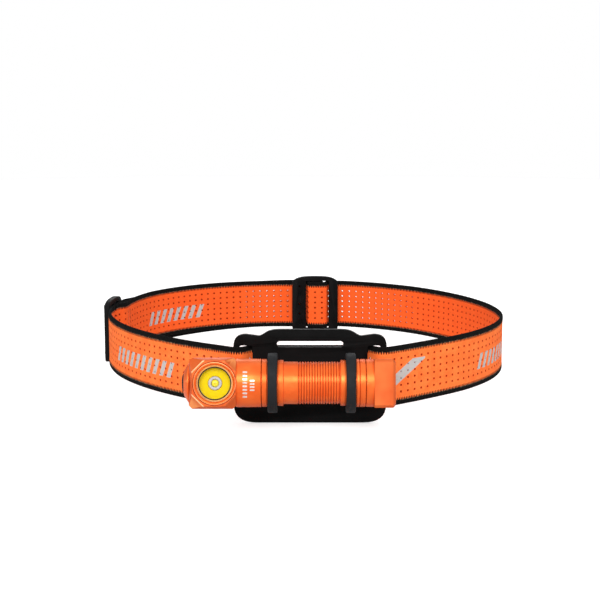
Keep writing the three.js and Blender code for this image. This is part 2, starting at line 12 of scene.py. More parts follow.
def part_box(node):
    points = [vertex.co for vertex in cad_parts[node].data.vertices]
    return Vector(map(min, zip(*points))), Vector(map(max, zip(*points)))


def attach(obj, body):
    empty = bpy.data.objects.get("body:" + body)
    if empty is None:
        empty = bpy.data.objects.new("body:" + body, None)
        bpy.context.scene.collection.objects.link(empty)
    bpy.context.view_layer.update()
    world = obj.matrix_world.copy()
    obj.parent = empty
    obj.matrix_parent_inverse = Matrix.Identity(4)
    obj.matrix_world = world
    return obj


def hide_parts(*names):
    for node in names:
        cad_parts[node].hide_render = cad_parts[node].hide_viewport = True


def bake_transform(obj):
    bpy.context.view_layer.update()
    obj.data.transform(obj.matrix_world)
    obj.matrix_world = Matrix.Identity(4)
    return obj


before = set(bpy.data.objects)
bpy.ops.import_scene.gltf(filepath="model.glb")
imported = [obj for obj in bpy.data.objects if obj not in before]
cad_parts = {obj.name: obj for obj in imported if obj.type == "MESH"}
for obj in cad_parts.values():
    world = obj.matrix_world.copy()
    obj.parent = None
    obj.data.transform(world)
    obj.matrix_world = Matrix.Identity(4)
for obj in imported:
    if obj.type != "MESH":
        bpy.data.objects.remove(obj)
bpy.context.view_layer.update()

MM = 0.001

# ---- Where things are ----

# The strap's own frame, in mm: x = 0 at its centre, y = 0 mid-depth, z = 0 at mid-height.
PLATE_X = 2.8
PLATE_FRONT_Y = -103.0
PLATE_BOTTOM = -19.4
PLATE_HALF = 31.2
LAMP_Y = -118.3
LAMP_Z = 0.7
LAMP_TILT = 11.0
OPTIC_X = -34.7
GAP = 0.3

plate_low, plate_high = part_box("mount_plate")
ORIGIN = Vector((
    (plate_low.x + plate_high.x) / 2 - PLATE_X * MM,
    plate_low.y - PLATE_FRONT_Y * MM,
    plate_low.z - PLATE_BOTTOM * MM,
))
LAMP_FRAME = (
    Matrix.Translation(ORIGIN + Vector((0, LAMP_Y, LAMP_Z)) * MM)
    @ Matrix.Rotation(-math.radians(LAMP_TILT), 4, "X")
)
RING_FRAME = Matrix.Translation(ORIGIN)


def in_row(x, y, z=0.0):
    """A point of the strap's frame, in mm, as a point of the row's frame, in metres."""
    return ORIGIN + Vector((x, y, z)) * MM


# ---- Camera, light and floor ----

CAMERA_PLACE = (-1.494, -658.895, 121.857)    # mm, in the strap's frame
CAMERA_AIM = (0.00036, 0.98706, -0.16035)
CAMERA_LENS = 83.56
SENSOR_WIDTH = 36


def link_new(name, data):
    """A new object in the scene."""
    thing = bpy.data.objects.new(name, data)
    bpy.context.scene.collection.objects.link(thing)
    return thing


def point_at(thing, place, way):
    """Puts a camera or a light at a place, looking the given way."""
    thing.location = place
    thing.rotation_mode = "QUATERNION"
    thing.rotation_quaternion = Vector(way).to_track_quat("-Z", "Y")


def add_camera():
    data = bpy.data.cameras.new("camera")
    data.lens = CAMERA_LENS
    data.sensor_width = SENSOR_WIDTH
    data.clip_start = 0.01
    data.clip_end = 50
    camera = link_new("camera", data)
    point_at(camera, in_row(*CAMERA_PLACE), CAMERA_AIM)
    bpy.context.scene.camera = camera


def add_light(name, place, aim, size, power):
    data = bpy.data.lights.new(name, "AREA")
    data.shape = "RECTANGLE"
    data.size, data.size_y = size
    data.energy = power
    point_at(link_new(name, data), place, Vector(aim) - Vector(place))


def add_lights():
    lamp = (0, -0.09, 0.02)
    middle = (0, 0, 0.02)
    add_light("softbox_front", (-0.1, -1.15, 0.70), lamp, (1.3, 0.55), 16)
    add_light("softbox_low", (0.2, -1.3, 0.06), lamp, (1.4, 0.10), 1.1)
    add_light("softbox_top", (0, -0.05, 1.3), middle, (1.6, 1.6), 6)
    add_light("softbox_left", (-1.2, -0.2, 0.5), middle, (0.7, 0.7), 4)
    add_light("softbox_right", (1.2, -0.2, 0.5), middle, (0.7, 0.7), 4)
    add_light("softbox_back", (0.1, 1.2, 0.6), middle, (1.0, 0.5), 4)


WORLD_LIGHT = 0.30
FLOOR_RADIUS = 1.3
FLOOR_SIDES = 48
FLOOR_DROP = 0.0004       # metres below the object's lowest point
FLOOR_GLOW = 0.62         # lifts the floor to white without lighting the object


def add_world():
    """White where the camera sees it, and a dimmer even light on the object."""
    world = bpy.data.worlds.new("studio")
    bpy.context.scene.world = world
    world.use_nodes = True
    nodes, links = world.node_tree.nodes, world.node_tree.links
    nodes.clear()
    path = nodes.new("ShaderNodeLightPath")
    mix = nodes.new("ShaderNodeMixShader")
    output = nodes.new("ShaderNodeOutputWorld")
    links.new(path.outputs["Is Camera Ray"], mix.inputs["Fac"])
    for socket, strength in ((mix.inputs[1], WORLD_LIGHT), (mix.inputs[2], 1.0)):
        background = nodes.new("ShaderNodeBackground")
        background.inputs["Color"].default_value = (1, 1, 1, 1)
        background.inputs["Strength"].default_value = strength
        links.new(background.outputs[0], socket)
    links.new(mix.outputs[0], output.inputs["Surface"])


def add_floor(material):
    mesh = bpy.data.meshes.new("floor")
    turns = [2 * math.pi * i / FLOOR_SIDES for i in range(FLOOR_SIDES)]
    rim = [(FLOOR_RADIUS * math.cos(t), FLOOR_RADIUS * math.sin(t), -FLOOR_DROP) for t in turns]
    mesh.from_pydata(rim, [], [list(range(FLOOR_SIDES))])
    floor = link_new("floor", mesh)
    mesh.materials.append(material)


# ---- Node helpers ----


class Nodes:
    """Builds one material's nodes with short calls."""

    def __init__(self, name):
        self.material = bpy.data.materials.new(name)
        self.material.use_nodes = True
        self.tree = self.material.node_tree
        self.tree.nodes.clear()
        self.shader = self.tree.nodes.new("ShaderNodeBsdfPrincipled")
        output = self.tree.nodes.new("ShaderNodeOutputMaterial")
        self.tree.links.new(self.shader.outputs[0], output.inputs["Surface"])

    def feed(self, socket, value):
        if isinstance(value, bpy.types.NodeSocket):
            self.tree.links.new(value, socket)
        elif socket.type == "RGBA" and len(value) == 3:
            socket.default_value = (*value, 1)
        else:
            socket.default_value = value

    def set(self, **values):
        """Sets the shader's own sockets. Underscores stand for spaces."""
        for name, value in values.items():
            self.feed(self.shader.inputs[name.replace("_", " ")], value)
        return self.material

    def math(self, operation, a, b=0.0, c=0.0):
        node = self.tree.nodes.new("ShaderNodeMath")
        node.operation = operation
        for socket, value in zip(node.inputs, (a, b, c)):
            self.feed(socket, value)
        return node.outputs[0]

    def ramp(self, value, low, high, out_low=0.0, out_high=1.0):
        """A smooth step from out_low at low to out_high at high."""
        node = self.tree.nodes.new("ShaderNodeMapRange")
        node.interpolation_type = "SMOOTHSTEP"
        given = (value, low, high, out_low, out_high)
        for socket, item in zip(node.inputs, given):
            self.feed(socket, item)
        return node.outputs[0]

    def away(self, value, middle):
        """How far a value is from the middle."""
        return self.math("ABSOLUTE", self.math("SUBTRACT", value, middle))

    def between(self, value, low, high):
        """1 where the value lies between low and high."""
        return self.math("LESS_THAN", self.away(value, (low + high) / 2), (high - low) / 2)

    def product(self, first, *others):
        for other in others:
            first = self.math("MULTIPLY", first, other)
        return first

    def mix(self, factor, a, b):
        node = self.tree.nodes.new("ShaderNodeMix")
        node.data_type = "RGBA"
        self.feed(node.inputs[0], factor)
        self.feed(node.inputs[6], a)
        self.feed(node.inputs[7], b)
        return node.outputs[2]

    def place(self):
        """The point in the piece's own frame, in metres."""
        return self.tree.nodes.new("ShaderNodeTexCoord").outputs["Object"]

    def scaled(self, vector, scale):
        node = self.tree.nodes.new("ShaderNodeMapping")
        self.feed(node.inputs["Vector"], vector)
        node.inputs["Scale"].default_value = scale
        return node.outputs[0]

    def parts(self, vector):
        node = self.tree.nodes.new("ShaderNodeSeparateXYZ")
        self.feed(node.inputs[0], vector)
        return node.outputs[0], node.outputs[1], node.outputs[2]

    def millimetres(self, place):
        """x, y and z in mm."""
        return self.parts(self.scaled(place, (1000, 1000, 1000)))

    def noise(self, vector, scale, detail=2.0):
        node = self.tree.nodes.new("ShaderNodeTexNoise")
        self.feed(node.inputs["Vector"], vector)
        node.inputs["Scale"].default_value = scale
        node.inputs["Detail"].default_value = detail
        return node.outputs[0]

    def attribute(self, name):
        node = self.tree.nodes.new("ShaderNodeAttribute")
        node.attribute_name = name
        return node

    def edges(self):
        """Near 0.5 on flat places and higher on outer edges."""
        return self.tree.nodes.new("ShaderNodeNewGeometry").outputs["Pointiness"]

    def bump(self, height, distance, strength=1.0, under=None):
        node = self.tree.nodes.new("ShaderNodeBump")
        node.inputs["Strength"].default_value = strength
        node.inputs["Distance"].default_value = distance
        self.feed(node.inputs["Height"], height)
        if under is not None:
            self.feed(node.inputs["Normal"], under)
        return node.outputs[0]


# ---- Materials ----

ORANGE_METAL = (0.93, 0.175, 0.030)
ORANGE_METAL_DEEP = (0.84, 0.115, 0.014)
# Lighter orange for outer edges: edge wear and a painted highlight.
ORANGE_METAL_WEAR_AND_HIGHLIGHT = (1.0, 0.42, 0.14)
ENGRAVED = (0.72, 0.64, 0.60)
# Painted shade for the floors of the tube's grooves.
GROOVE_SHADE = (0.62, 0.070, 0.008)
# Bright bare metal with a painted highlight in its colour.
POLISHED_AND_HIGHLIGHT = (1.0, 0.52, 0.26)
ORANGE_FABRIC = (0.95, 0.200, 0.043)
ORANGE_FABRIC_DEEP = (0.88, 0.092, 0.014)
ORANGE_FABRIC_PALE = (1.0, 0.27, 0.075)
BLACK_FABRIC = (0.0028, 0.0028, 0.0028)
BLACK_FABRIC_PALE = (0.0085, 0.0082, 0.008)
# Painted shade on the walls and lips of the holes.
HOLE_PAINTED_SHADE = (0.50, 0.045, 0.008)
FLECK = (0.40, 0.27, 0.17)
SILVER_PRINT = (0.46, 0.44, 0.43)


def anodised(name, turned=True, marks=None, rough=0.36, metallic=0.55,
             depth=1.0):
    """Satin orange anodising, with fine tool rings if the piece was turned about x.
    marks gives a mask and the colour that lies there, and a depth under 1 darkens."""
    n = Nodes(name)
    place = n.place()
    cloudy = n.noise(place, 90, 3)
    # A depth under 1 darkens all of the colour: painted shade.
    deep = [channel * depth for channel in ORANGE_METAL_DEEP]
    colour = n.mix(n.ramp(cloudy, 0.35, 0.7), deep, [c * depth for c in ORANGE_METAL])
    # Outer edges lightened: edge wear and a painted highlight.
    colour = n.mix(n.ramp(n.edges(), 0.56, 0.70, 0.0, 0.55), colour, ORANGE_METAL_WEAR_AND_HIGHLIGHT)
    blasted = n.noise(place, 9000, 2)
    normal = n.bump(blasted, 0.00002, 0.25)
    if turned:
        rings = n.noise(n.scaled(place, (1, 0.004, 0.004)), 7000, 2)
        normal = n.bump(rings, 0.00001, 0.15, normal)
    rough = n.ramp(n.noise(place, 400, 2), 0.2, 0.8, rough - 0.06, rough + 0.06)
    if marks:
        mask, tint = marks(n, place)
        colour = n.mix(mask, colour, tint)
        rough = n.math("MULTIPLY_ADD", mask, -0.15, rough)
    return n.set(Base_Color=colour, Roughness=rough, Normal=normal, Metallic=metallic,
                 Specular_IOR_Level=0.3)


# The two rows of plain dashes engraved on the neck, in mm in the lamp's frame.
LONG_ROW = {"left": -23.7, "right": -22.0, "low": -5.9, "high": 5.1, "pitch": 1.375}
SHORT_ROW = {"left": -20.9, "right": -19.1, "low": -3.2, "high": 1.7, "pitch": 1.225}
DASH_SHARE = 0.25


def neck_marks(n, place):
    x, y, z = n.millimetres(place)
    total = 0.0
    for row in (LONG_ROW, SHORT_ROW):
        inside_x = n.between(x, row["left"], row["right"])
        inside_z = n.between(z, row["low"], row["high"])
        along = n.math("DIVIDE", n.math("SUBTRACT", z, row["low"]), row["pitch"])
        from_middle = n.away(n.math("FRACT", along), 0.5)
        dash = n.math("LESS_THAN", from_middle, DASH_SHARE)
        total = n.math("MAXIMUM", n.product(inside_x, inside_z, dash), total)
    return n.product(total, n.math("LESS_THAN", y, 0.0)), ENGRAVED


GROOVE_SHADES = (8.10, 8.34)   # mm from the axis, where the painted shade ends
SLANT_FROM = 13.0              # mm, sum of the two distances from the optic's middle
FRONT_FROM = 9.74              # mm in front of the axis
LIP = (8.05, 8.15, 8.35, 8.42)
CONE_FOOT = (7.25, 7.1)


def from_axis(n, place):
    """Distance from the tube's axis, in mm."""
    _, y, z = n.millimetres(place)
    return n.math("SQRT", n.math("MULTIPLY_ADD", y, y, n.product(z, z)))


def groove_painted_shade(n, place):
    """Painted shade on the floors of the tube's grooves and in its joints."""
    return n.ramp(from_axis(n, place), *GROOVE_SHADES, 1.0, 0.0), GROOVE_SHADE


def milled_ridges_and_highlights(n, place):
    """Bright narrow lines on the slanted edges of the head's eight-sided front: bare cut metal
    and a painted highlight.
    """
    x, y, z = n.millimetres(place)
    diagonal = n.math("ADD", n.away(x, OPTIC_X), n.math("ABSOLUTE", z))
    on_slant = n.math("GREATER_THAN", diagonal, SLANT_FROM)
    return n.product(on_slant, n.math("LESS_THAN", y, -FRONT_FROM)), POLISHED_AND_HIGHLIGHT


def polished_bands_and_highlights(n, place):
    """The bezel's bright outer lip and the bright foot of its inner cone: polished metal, with a
    painted highlight in their colour.
    """
    radius = radius_from_beam(n, place)
    lip = n.product(n.ramp(radius, LIP[0], LIP[1]), n.ramp(radius, LIP[3], LIP[2]))
    foot = n.ramp(radius, *CONE_FOOT)
    return n.math("MAXIMUM", n.product(lip, 0.4), foot), POLISHED_AND_HIGHLIGHT


RIB = 0.95           # mm from one rib of the black edge to the next
BLACK_FROM = 9.35    # mm from the strap's middle, where the black teeth begin
TOOTH = 0.85         # mm, length of a tooth
PRINT_MIDDLE = 1.6   # mm below the strap's middle
PRINT_HALF = 3.4     # half the height of a row of dashes
DASH_PITCH = 4.9
DASH_LEAN = 0.42
DASH_WIDE = 0.52     # share of the pitch
STROKE_LEAN = 0.577
STROKE_HALF = 2.45   # half its width
STROKE_REACH_UP = 6.1
YARN = 0.24          # half the knit's pitch


def slanted_dashes(count):
    """A row of plain slanted dashes, centred on the mark."""

    def mask(n, from_mark, across):
        slanted = n.math("MULTIPLY_ADD", across, DASH_LEAN, from_mark)
        phase = n.math("FRACT", n.math("DIVIDE", slanted, DASH_PITCH))
        dash = n.math("LESS_THAN", phase, DASH_WIDE)
        near = n.math("LESS_THAN", n.math("ABSOLUTE", slanted), DASH_PITCH * count / 2)
        tall = n.math("LESS_THAN", n.away(across, -PRINT_MIDDLE), PRINT_HALF)
        return n.product(dash, near, tall)

    return mask


def slanted_stroke(n, from_mark, across):
    """One broad slanted stroke."""
    rise = n.math("MULTIPLY_ADD", from_mark, STROKE_LEAN, across)
    band = n.math("LESS_THAN", n.math("ABSOLUTE", rise), STROKE_HALF)
    return n.product(band, n.math("LESS_THAN", n.math("ABSOLUTE", across), STROKE_REACH_UP))


def webbing(name, mark=None, printed_face=1):
    """Perforated knitted elastic: orange, with ribbed black edges and an optional print
    on its outer face, 1, or its inner one, -1."""
    n = Nodes(name)
    flat = n.attribute("weave").outputs["Vector"]
    along, across, side = n.parts(flat)
    from_middle = n.math("ABSOLUTE", across)
    phase = n.math("PINGPONG", along, RIB / 2)
    tooth = n.ramp(phase, RIB * 0.12, RIB * 0.38)
    border = n.math("MULTIPLY_ADD", tooth, TOOTH, BLACK_FROM)
    beyond = n.math("SUBTRACT", from_middle, border)
    black = n.ramp(beyond, -0.06, 0.06)

    blotch = n.noise(flat, 0.22, 3)
    fine = n.noise(n.scaled(flat, (1, 0.35, 1)), 3.2, 2)
    orange = n.mix(n.ramp(blotch, 0.3, 0.72, 0.6, 1.0), ORANGE_FABRIC_DEEP, ORANGE_FABRIC)
    orange = n.mix(n.ramp(fine, 0.52, 0.8, 0.0, 0.55), orange, ORANGE_FABRIC_PALE)
    # The inner face is painted deeper and redder: painted shade.
    inner = n.ramp(side, 0.1, -0.1, 0.0, 0.75)
    orange = n.mix(inner, orange, ORANGE_FABRIC_DEEP)
    dark = n.mix(n.ramp(fine, 0.45, 0.75), BLACK_FABRIC, BLACK_FABRIC_PALE)
    near_teeth = n.away(from_middle, BLACK_FROM + TOOTH + 0.15)
    fleck = n.product(n.ramp(near_teeth, 0.24, 0.1), n.ramp(phase, 0.24, 0.36),
                      n.ramp(fine, 0.38, 0.62))
    dark = n.mix(fleck, dark, FLECK)
    # Painted shade darkens the fabric towards each hole's lip.
    hole_shade = n.ramp(n.attribute("hole").outputs["Fac"], 0.80, 1.0)
    orange = n.mix(hole_shade, orange, HOLE_PAINTED_SHADE)
    colour = n.mix(black, orange, dark)

    yarns = n.math("PINGPONG", n.math("ADD", along, across), YARN)
    cross = n.math("PINGPONG", n.math("SUBTRACT", along, across), YARN)
    knit = n.math("MULTIPLY_ADD", n.product(yarns, cross), 9.0, fine)
    normal = n.bump(knit, 0.00010, 0.55)
    normal = n.bump(n.product(phase, black), 0.00030, 0.7, normal)
    rough = n.ramp(fine, 0.3, 0.7, 0.78, 0.92)
    if mark:
        from_mark = n.attribute("from_mark").outputs["Fac"]
        worn = n.ramp(fine, 0.62, 0.72, 1.0, 0.55)
        on_face = n.math("GREATER_THAN", n.product(side, printed_face), 0.0)
        print_mask = n.product(mark(n, from_mark, across), worn, on_face)
        colour = n.mix(print_mask, colour, SILVER_PRINT)
        rough = n.math("MULTIPLY_ADD", print_mask, -0.4, rough)
    return n.set(Base_Color=colour, Roughness=rough, Normal=normal, Sheen_Weight=0.01,
                 Sheen_Roughness=0.5, Specular_IOR_Level=0.06)


def moulded(name, colour, pale, rough, grain=5200, depth=0.00003, specular=0.14):
    """Moulded plastic or rubber: fine grain, faint clouding and paler edges."""
    n = Nodes(name)
    place = n.place()
    cloudy = n.ramp(n.noise(place, 160, 3), 0.3, 0.75, 0.0, 0.45)
    shade = n.mix(cloudy, colour, pale)
    shade = n.mix(n.ramp(n.edges(), 0.53, 0.66, 0.0, 0.8), shade, pale)
    texture = n.noise(place, grain, 2)
    roughness = n.ramp(n.noise(place, 700, 2), 0.25, 0.75, rough - 0.07, rough + 0.07)
    return n.set(Base_Color=shade, Roughness=roughness, Normal=n.bump(texture, depth, 0.5),
                 Specular_IOR_Level=specular)


def metal(name, colour, rough):
    """Bare metal with drawn lines along x."""
    n = Nodes(name)
    place = n.place()
    lines = n.noise(n.scaled(place, (0.05, 1, 1)), 6000, 2)
    tint = n.mix(n.ramp(lines, 0.3, 0.8, 0.0, 0.3), colour, [c * 0.7 for c in colour])
    roughness = n.ramp(lines, 0.2, 0.8, rough - 0.08, rough + 0.08)
    return n.set(Base_Color=tint, Roughness=roughness, Metallic=1.0,
                 Normal=n.bump(lines, 0.00001, 0.3))


def radius_from_beam(n, place):
    """Distance from the beam's axis, in mm, on a piece in the lamp's frame."""
    x, _, z = n.millimetres(place)
    beside = n.math("SUBTRACT", x, OPTIC_X)
    return n.math("SQRT", n.math("MULTIPLY_ADD", z, z, n.product(beside, beside)))


def optic_yellow(name):
    """The clear optic filled with the emitter's yellow, paler at its rim."""
    n = Nodes(name)
    radius = radius_from_beam(n, n.place())
    mottled = n.ramp(n.noise(n.place(), 900, 2), 0.3, 0.8)
    colour = n.mix(mottled, (0.82, 0.58, 0.0), (0.90, 0.66, 0.0))
    colour = n.mix(n.ramp(radius, 6.1, 6.25), colour, (0.95, 0.86, 0.20))
    facets = n.math("PINGPONG", radius, 0.22)
    # The emission adds a faint painted glow to the yellow.
    return n.set(Base_Color=colour, Roughness=0.4, Normal=n.bump(facets, 0.00006, 0.3),
                 Specular_IOR_Level=0.0,
                 Emission_Color=(1.0, 0.86, 0.0), Emission_Strength=0.02)


def optic_core(name):
    """The emitter seen through the middle of the optic."""
    n = Nodes(name)
    radius = radius_from_beam(n, n.place())
    colour = n.mix(n.ramp(radius, 0.25, 0.6), (0.74, 0.52, 0.0), (0.90, 0.76, 0.02))
    grain = n.noise(n.place(), 5000, 2)
    # The emission adds a faint painted glow to the yellow.
    return n.set(Base_Color=colour, Roughness=0.3, Normal=n.bump(grain, 0.00003, 0.4),
                 Emission_Color=(1.0, 0.84, 0.0), Emission_Strength=0.02)


def glass(name):
    """The coated window, nearly clear, with a faint smear."""
    n = Nodes(name)
    smear = n.ramp(n.noise(n.place(), 260, 3), 0.4, 0.8, 0.01, 0.06)
    tint = n.mix(n.noise(n.place(), 60, 1), (0.20, 0.24, 0.26), (0.26, 0.25, 0.22))
    return n.set(Base_Color=tint, Roughness=smear, Alpha=0.025, IOR=1.5)


def floor_paint():
    n = Nodes("floor_paint")
    speckle = n.noise(n.place(), 12, 2)
    colour = n.mix(speckle, (0.68, 0.68, 0.68), (0.72, 0.72, 0.72))
    seen = n.tree.nodes.new("ShaderNodeLightPath").outputs["Is Camera Ray"]
    glow = n.product(seen, FLOOR_GLOW)
    return n.set(Base_Color=colour, Roughness=0.9, Specular_IOR_Level=0.1,
                 Emission_Color=(1, 1, 1), Emission_Strength=glow)


def make_materials():
    black = (0.0024, 0.0024, 0.0025)
    return {
        "anodised": anodised("orange_anodised"),
        "anodised_tube": anodised("orange_anodised_grooved", marks=groove_painted_shade),
        "anodised_bezel": anodised("orange_anodised_bezel", False, polished_bands_and_highlights, 0.26),
        # The block shares the neck's anodising; its depth of 0.72 is painted shade.
        "anodised_block": anodised("orange_anodised_milled", False, milled_ridges_and_highlights, 0.42,
                                   0.40, 0.72),
        "anodised_neck": anodised("orange_anodised_marked", marks=neck_marks),
        "webbing": webbing("elastic_webbing"),
        "webbing_dashes": webbing("elastic_webbing_dashes", slanted_dashes(10)),
        "webbing_short_row": webbing("elastic_webbing_short_row", slanted_dashes(8), -1),
        "webbing_stroke": webbing("elastic_webbing_stroke", slanted_stroke),
        "plastic": moulded("black_moulded_plastic", black, (0.008, 0.008, 0.0083), 0.46,
                           specular=0.05),
        "silicone": moulded("dark_silicone", (0.0105, 0.0115, 0.0130), (0.020, 0.0215, 0.024),
                            0.62, 2600, 0.00004, 0.13),
        "rubber": moulded("black_rubber", (0.009, 0.009, 0.009), (0.022, 0.022, 0.022),
                          0.6, 3200, 0.00005, 0.2),
        "thread": moulded("sewing_thread", (0.50, 0.075, 0.015), (0.9, 0.25, 0.09),
                          0.75, 4200, 0.0001, 0.3),
        "optic": optic_yellow("optic_yellow"),
        "optic_core": optic_core("optic_core"),
        # The grey ring in the optic's middle is a painted reflection of the emitter's cavity.
        "optic_ring": moulded("optic_ring_painted_reflection", (0.52, 0.52, 0.54), (0.66, 0.66, 0.68),
                              0.35, 3000, 0.00004, 0.3),
        "white": moulded("white_plastic", (0.80, 0.80, 0.77), (0.9, 0.9, 0.88), 0.45),
        "board": moulded("green_solder_mask", (0.01, 0.12, 0.04), (0.03, 0.2, 0.08), 0.35),
        "sleeve": moulded("battery_shrink_sleeve", (0.02, 0.08, 0.24), (0.05, 0.14, 0.34),
                          0.3, 2000, 0.00002, 0.5),
        "copper": metal("bare_copper", (0.92, 0.48, 0.27), 0.3),
        "brass": metal("plated_brass", (0.86, 0.66, 0.30), 0.3),
        "steel": metal("nickel_steel", (0.66, 0.65, 0.62), 0.32),
        "glass": glass("window_glass"),
    }


LOOKS = make_materials()


# ---- Mesh helpers ----

SMOOTH_ANGLE = 38         # degrees, past which an edge stays sharp
BLOCK_ANGLE = 24
FABRIC_ANGLE = 55
SEGMENTS = 96             # round a turned piece


def smooth_up_to(mesh, angle):
    mesh.shade_smooth()
    mesh.set_sharp_from_angle(angle=math.radians(angle))


def new_mesh(name, points, faces):
    """A mesh from points in mm."""
    mesh = bpy.data.meshes.new(name)
    mesh.from_pydata([tuple(c * MM for c in p) for p in points], [], faces)
    return mesh


def add_piece(name, points, faces, looks, body, stands_for=(), place=None,
              smooth=SMOOTH_ANGLE):
    """A mesh piece from points in mm in the frame given by place."""
    mesh = new_mesh(name, points, faces)
    mesh.validate()
    mesh.update()
    piece = link_new(name, mesh)
    if place is not None:
        piece.matrix_world = place
    for look in looks if isinstance(looks, list) else [looks]:
        mesh.materials.append(look)
    smooth_up_to(mesh, smooth)
    if body:
        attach(piece, body)
    if stands_for:
        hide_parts(*stands_for)
    return piece


def face_outwards(piece):
    shape = bmesh.new()
    shape.from_mesh(piece.data)
    bmesh.ops.recalc_face_normals(shape, faces=shape.faces)
    shape.to_mesh(piece.data)
    shape.free()


def corner_arc(before, here, after, reach, steps):
    """A corner turned into a small arc that starts and ends reach away from it."""
    start = here + (before - here).normalized() * reach
    end = here + (after - here).normalized() * reach
    arc = []
    for k in range(steps + 1):
        t = k / steps
        arc.append(tuple(start * (1 - t) ** 2 + here * 2 * t * (1 - t) + end * t ** 2))
    return arc


def rounded(outline, radius, closed, steps=3):
    """The outline with each corner turned into a small arc."""
    count = len(outline)
    out = []
    for i, corner in enumerate(outline):
        if not closed and i in (0, count - 1):
            out.append(corner)
            continue
        before = Vector(outline[i - 1])
        after = Vector(outline[(i + 1) % count])
        here = Vector(corner)
        back, ahead = before - here, after - here
        if back.length < 1e-6 or ahead.length < 1e-6:
            continue
        if back.angle(ahead) > math.radians(172):
            out.append(corner)
            continue
        reach = min(radius, 0.42 * back.length, 0.42 * ahead.length)
        out += corner_arc(before, here, after, reach, steps)
    return out


def ring_faces(count, width, start=0, wrap=False):
    """Faces between rings of width points each. wrap joins the last ring to the first."""
    faces = []
    for i in range(count if wrap else count - 1):
        a, b = start + i * width, start + (i + 1) % count * width
        for k in range(width):
            after = (k + 1) % width
            faces.append((a + k, a + after, b + after, b + k))
    return faces


def lathe(outline, closed, axis):
    """Points and faces of an outline of (distance along, radius) turned about an axis.
    The axis is the tube's x, or the beam's, where the distance runs towards -y."""
    points, rings = [], []
    for along, radius in outline:
        count = 1 if radius < 1e-6 else SEGMENTS
        rings.append(list(range(len(points), len(points) + count)))
        for k in range(count):
            turn = 2 * math.pi * k / count
            points.append((along, radius * math.cos(turn), radius * math.sin(turn)))
    faces = []
    pairs = list(zip(rings, rings[1:]))
    if closed:
        pairs.append((rings[-1], rings[0]))
    for a, b in pairs:
        for k in range(SEGMENTS):
            after = (k + 1) % SEGMENTS
            corners = (a[k % len(a)], a[after % len(a)], b[after % len(b)], b[k % len(b)])
            unique = tuple(dict.fromkeys(corners))
            if len(unique) > 2:
                faces.append(unique)
    if axis == "beam":
        points = [(OPTIC_X + p[1], -p[0], p[2]) for p in points]
    return points, faces


def turned_piece(name, node, look, radius, outline, closed=True, axis="tube", body="lamp"):
    """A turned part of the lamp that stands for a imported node. radius rounds its corners."""
    points, faces = lathe(rounded(outline, radius, closed), closed, axis)
    piece = add_piece(name, points, faces, LOOKS[look], body, [node], LAMP_FRAME)
    face_outwards(piece)


def apply_modifiers(piece):
    bpy.context.view_layer.update()
    graph = bpy.context.evaluated_depsgraph_get()
    mesh = bpy.data.meshes.new_from_object(piece.evaluated_get(graph))
    piece.modifiers.clear()
    piece.data = mesh


def combine(piece, operation, others):
    """Cuts the others out of a piece, or joins them to it, and removes them."""
    for other in others:
        modifier = piece.modifiers.new("combine", "BOOLEAN")
        modifier.operation = operation
        modifier.solver = "EXACT"
        modifier.object = other
    apply_modifiers(piece)
    for other in others:
        bpy.data.objects.remove(other)


def merge_flat(piece):
    """Joins the triangles of each flat face."""
    shape = bmesh.new()
    shape.from_mesh(piece.data)
    bmesh.ops.remove_doubles(shape, verts=shape.verts, dist=2e-6)
    bmesh.ops.dissolve_limit(shape, angle_limit=math.radians(1.5), verts=shape.verts,
                             edges=shape.edges)
    shape.to_mesh(piece.data)
    shape.free()


def soften(piece, width, angle=35, steps=3):
    """Rounds the sharp edges of a solid."""
    modifier = piece.modifiers.new("edge", "BEVEL")
    modifier.width = width * MM
    modifier.segments = steps
    modifier.limit_method = "ANGLE"
    modifier.angle_limit = math.radians(angle)
    modifier.use_clamp_overlap = True
    modifier.harden_normals = False
    apply_modifiers(piece)
    smooth_up_to(piece.data, 50)


def from_node(name, node, look):
    """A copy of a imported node's mesh, to be worked on and to stand for it."""
    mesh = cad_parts[node].data.copy()
    mesh.name = name
    mesh.materials.clear()
    mesh.materials.append(LOOKS[look])
    piece = link_new(name, mesh)
    merge_flat(piece)
    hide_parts(node)
    return piece


# ---- Strap ----

FACE_V = 1.2
JOIN_U = 12.8
PASS_V = 2.2
SEWN_V = 5.3
TURNED_V = 3.9
BAR_LEFT = -0.25
BAR_RIGHT = 2.75
LAYER = 1.7
STRAP_HALF_THICK = 0.7
BACK_SLIDER = (6.8, 77.2, 0.0)
LEFT_SLIDER = (-91.6, 5.0, -97.0)
SLIDERS = {"back": BACK_SLIDER, "left": LEFT_SLIDER}
SLOT_MIDDLE = 26.1
BEHIND_PLATE = -100.0
BEFORE_PLATE = -104.0
SLOT_BEND_Y = -102
OUTER_SAG = 1.7

HOLE_PITCH = 3.8
ROW_PITCH = 2.8
ROWS = 6
HOLE_RADIUS = 0.42
PANEL_HALF = ROWS * ROW_PITCH / 2
FACE_HALF = 0.55          # half the panel's thickness
HOLE_LIP = 0.46           # half the thickness at a hole's edge
RIBS_PER_HOLE = 4
EDGE_STRIPS = (           # distance from the middle, half thickness, share of a rib's height
    (9.0, 0.56, 0.0), (9.9, 0.60, 0.4), (10.8, 0.64, 1.0), (11.5, 0.64, 1.0),
    (12.05, 0.54, 1.0), (12.35, 0.32, 1.0), (12.46, 0.0, 0.6),
)
RIB_HEIGHT = 0.05
RIB_REACH = 0.08          # how far the ribs stand out of the strap's edge
NO_MARK = 1000.0          # distance to a mark where there is none


def at_slider(slider, u, v):
    x, y, turn = slider
    c, s = math.cos(math.radians(turn)), math.sin(math.radians(turn))
    return [x + u * c - v * s, y + u * s + v * c]


def slider_ways(slider):
    """The directions of u, along a slider, and of v, out of its face."""
    turn = math.radians(slider[2])
    c, s = math.cos(turn), math.sin(turn)
    return Vector((c, s, 0)), Vector((-s, c, 0))


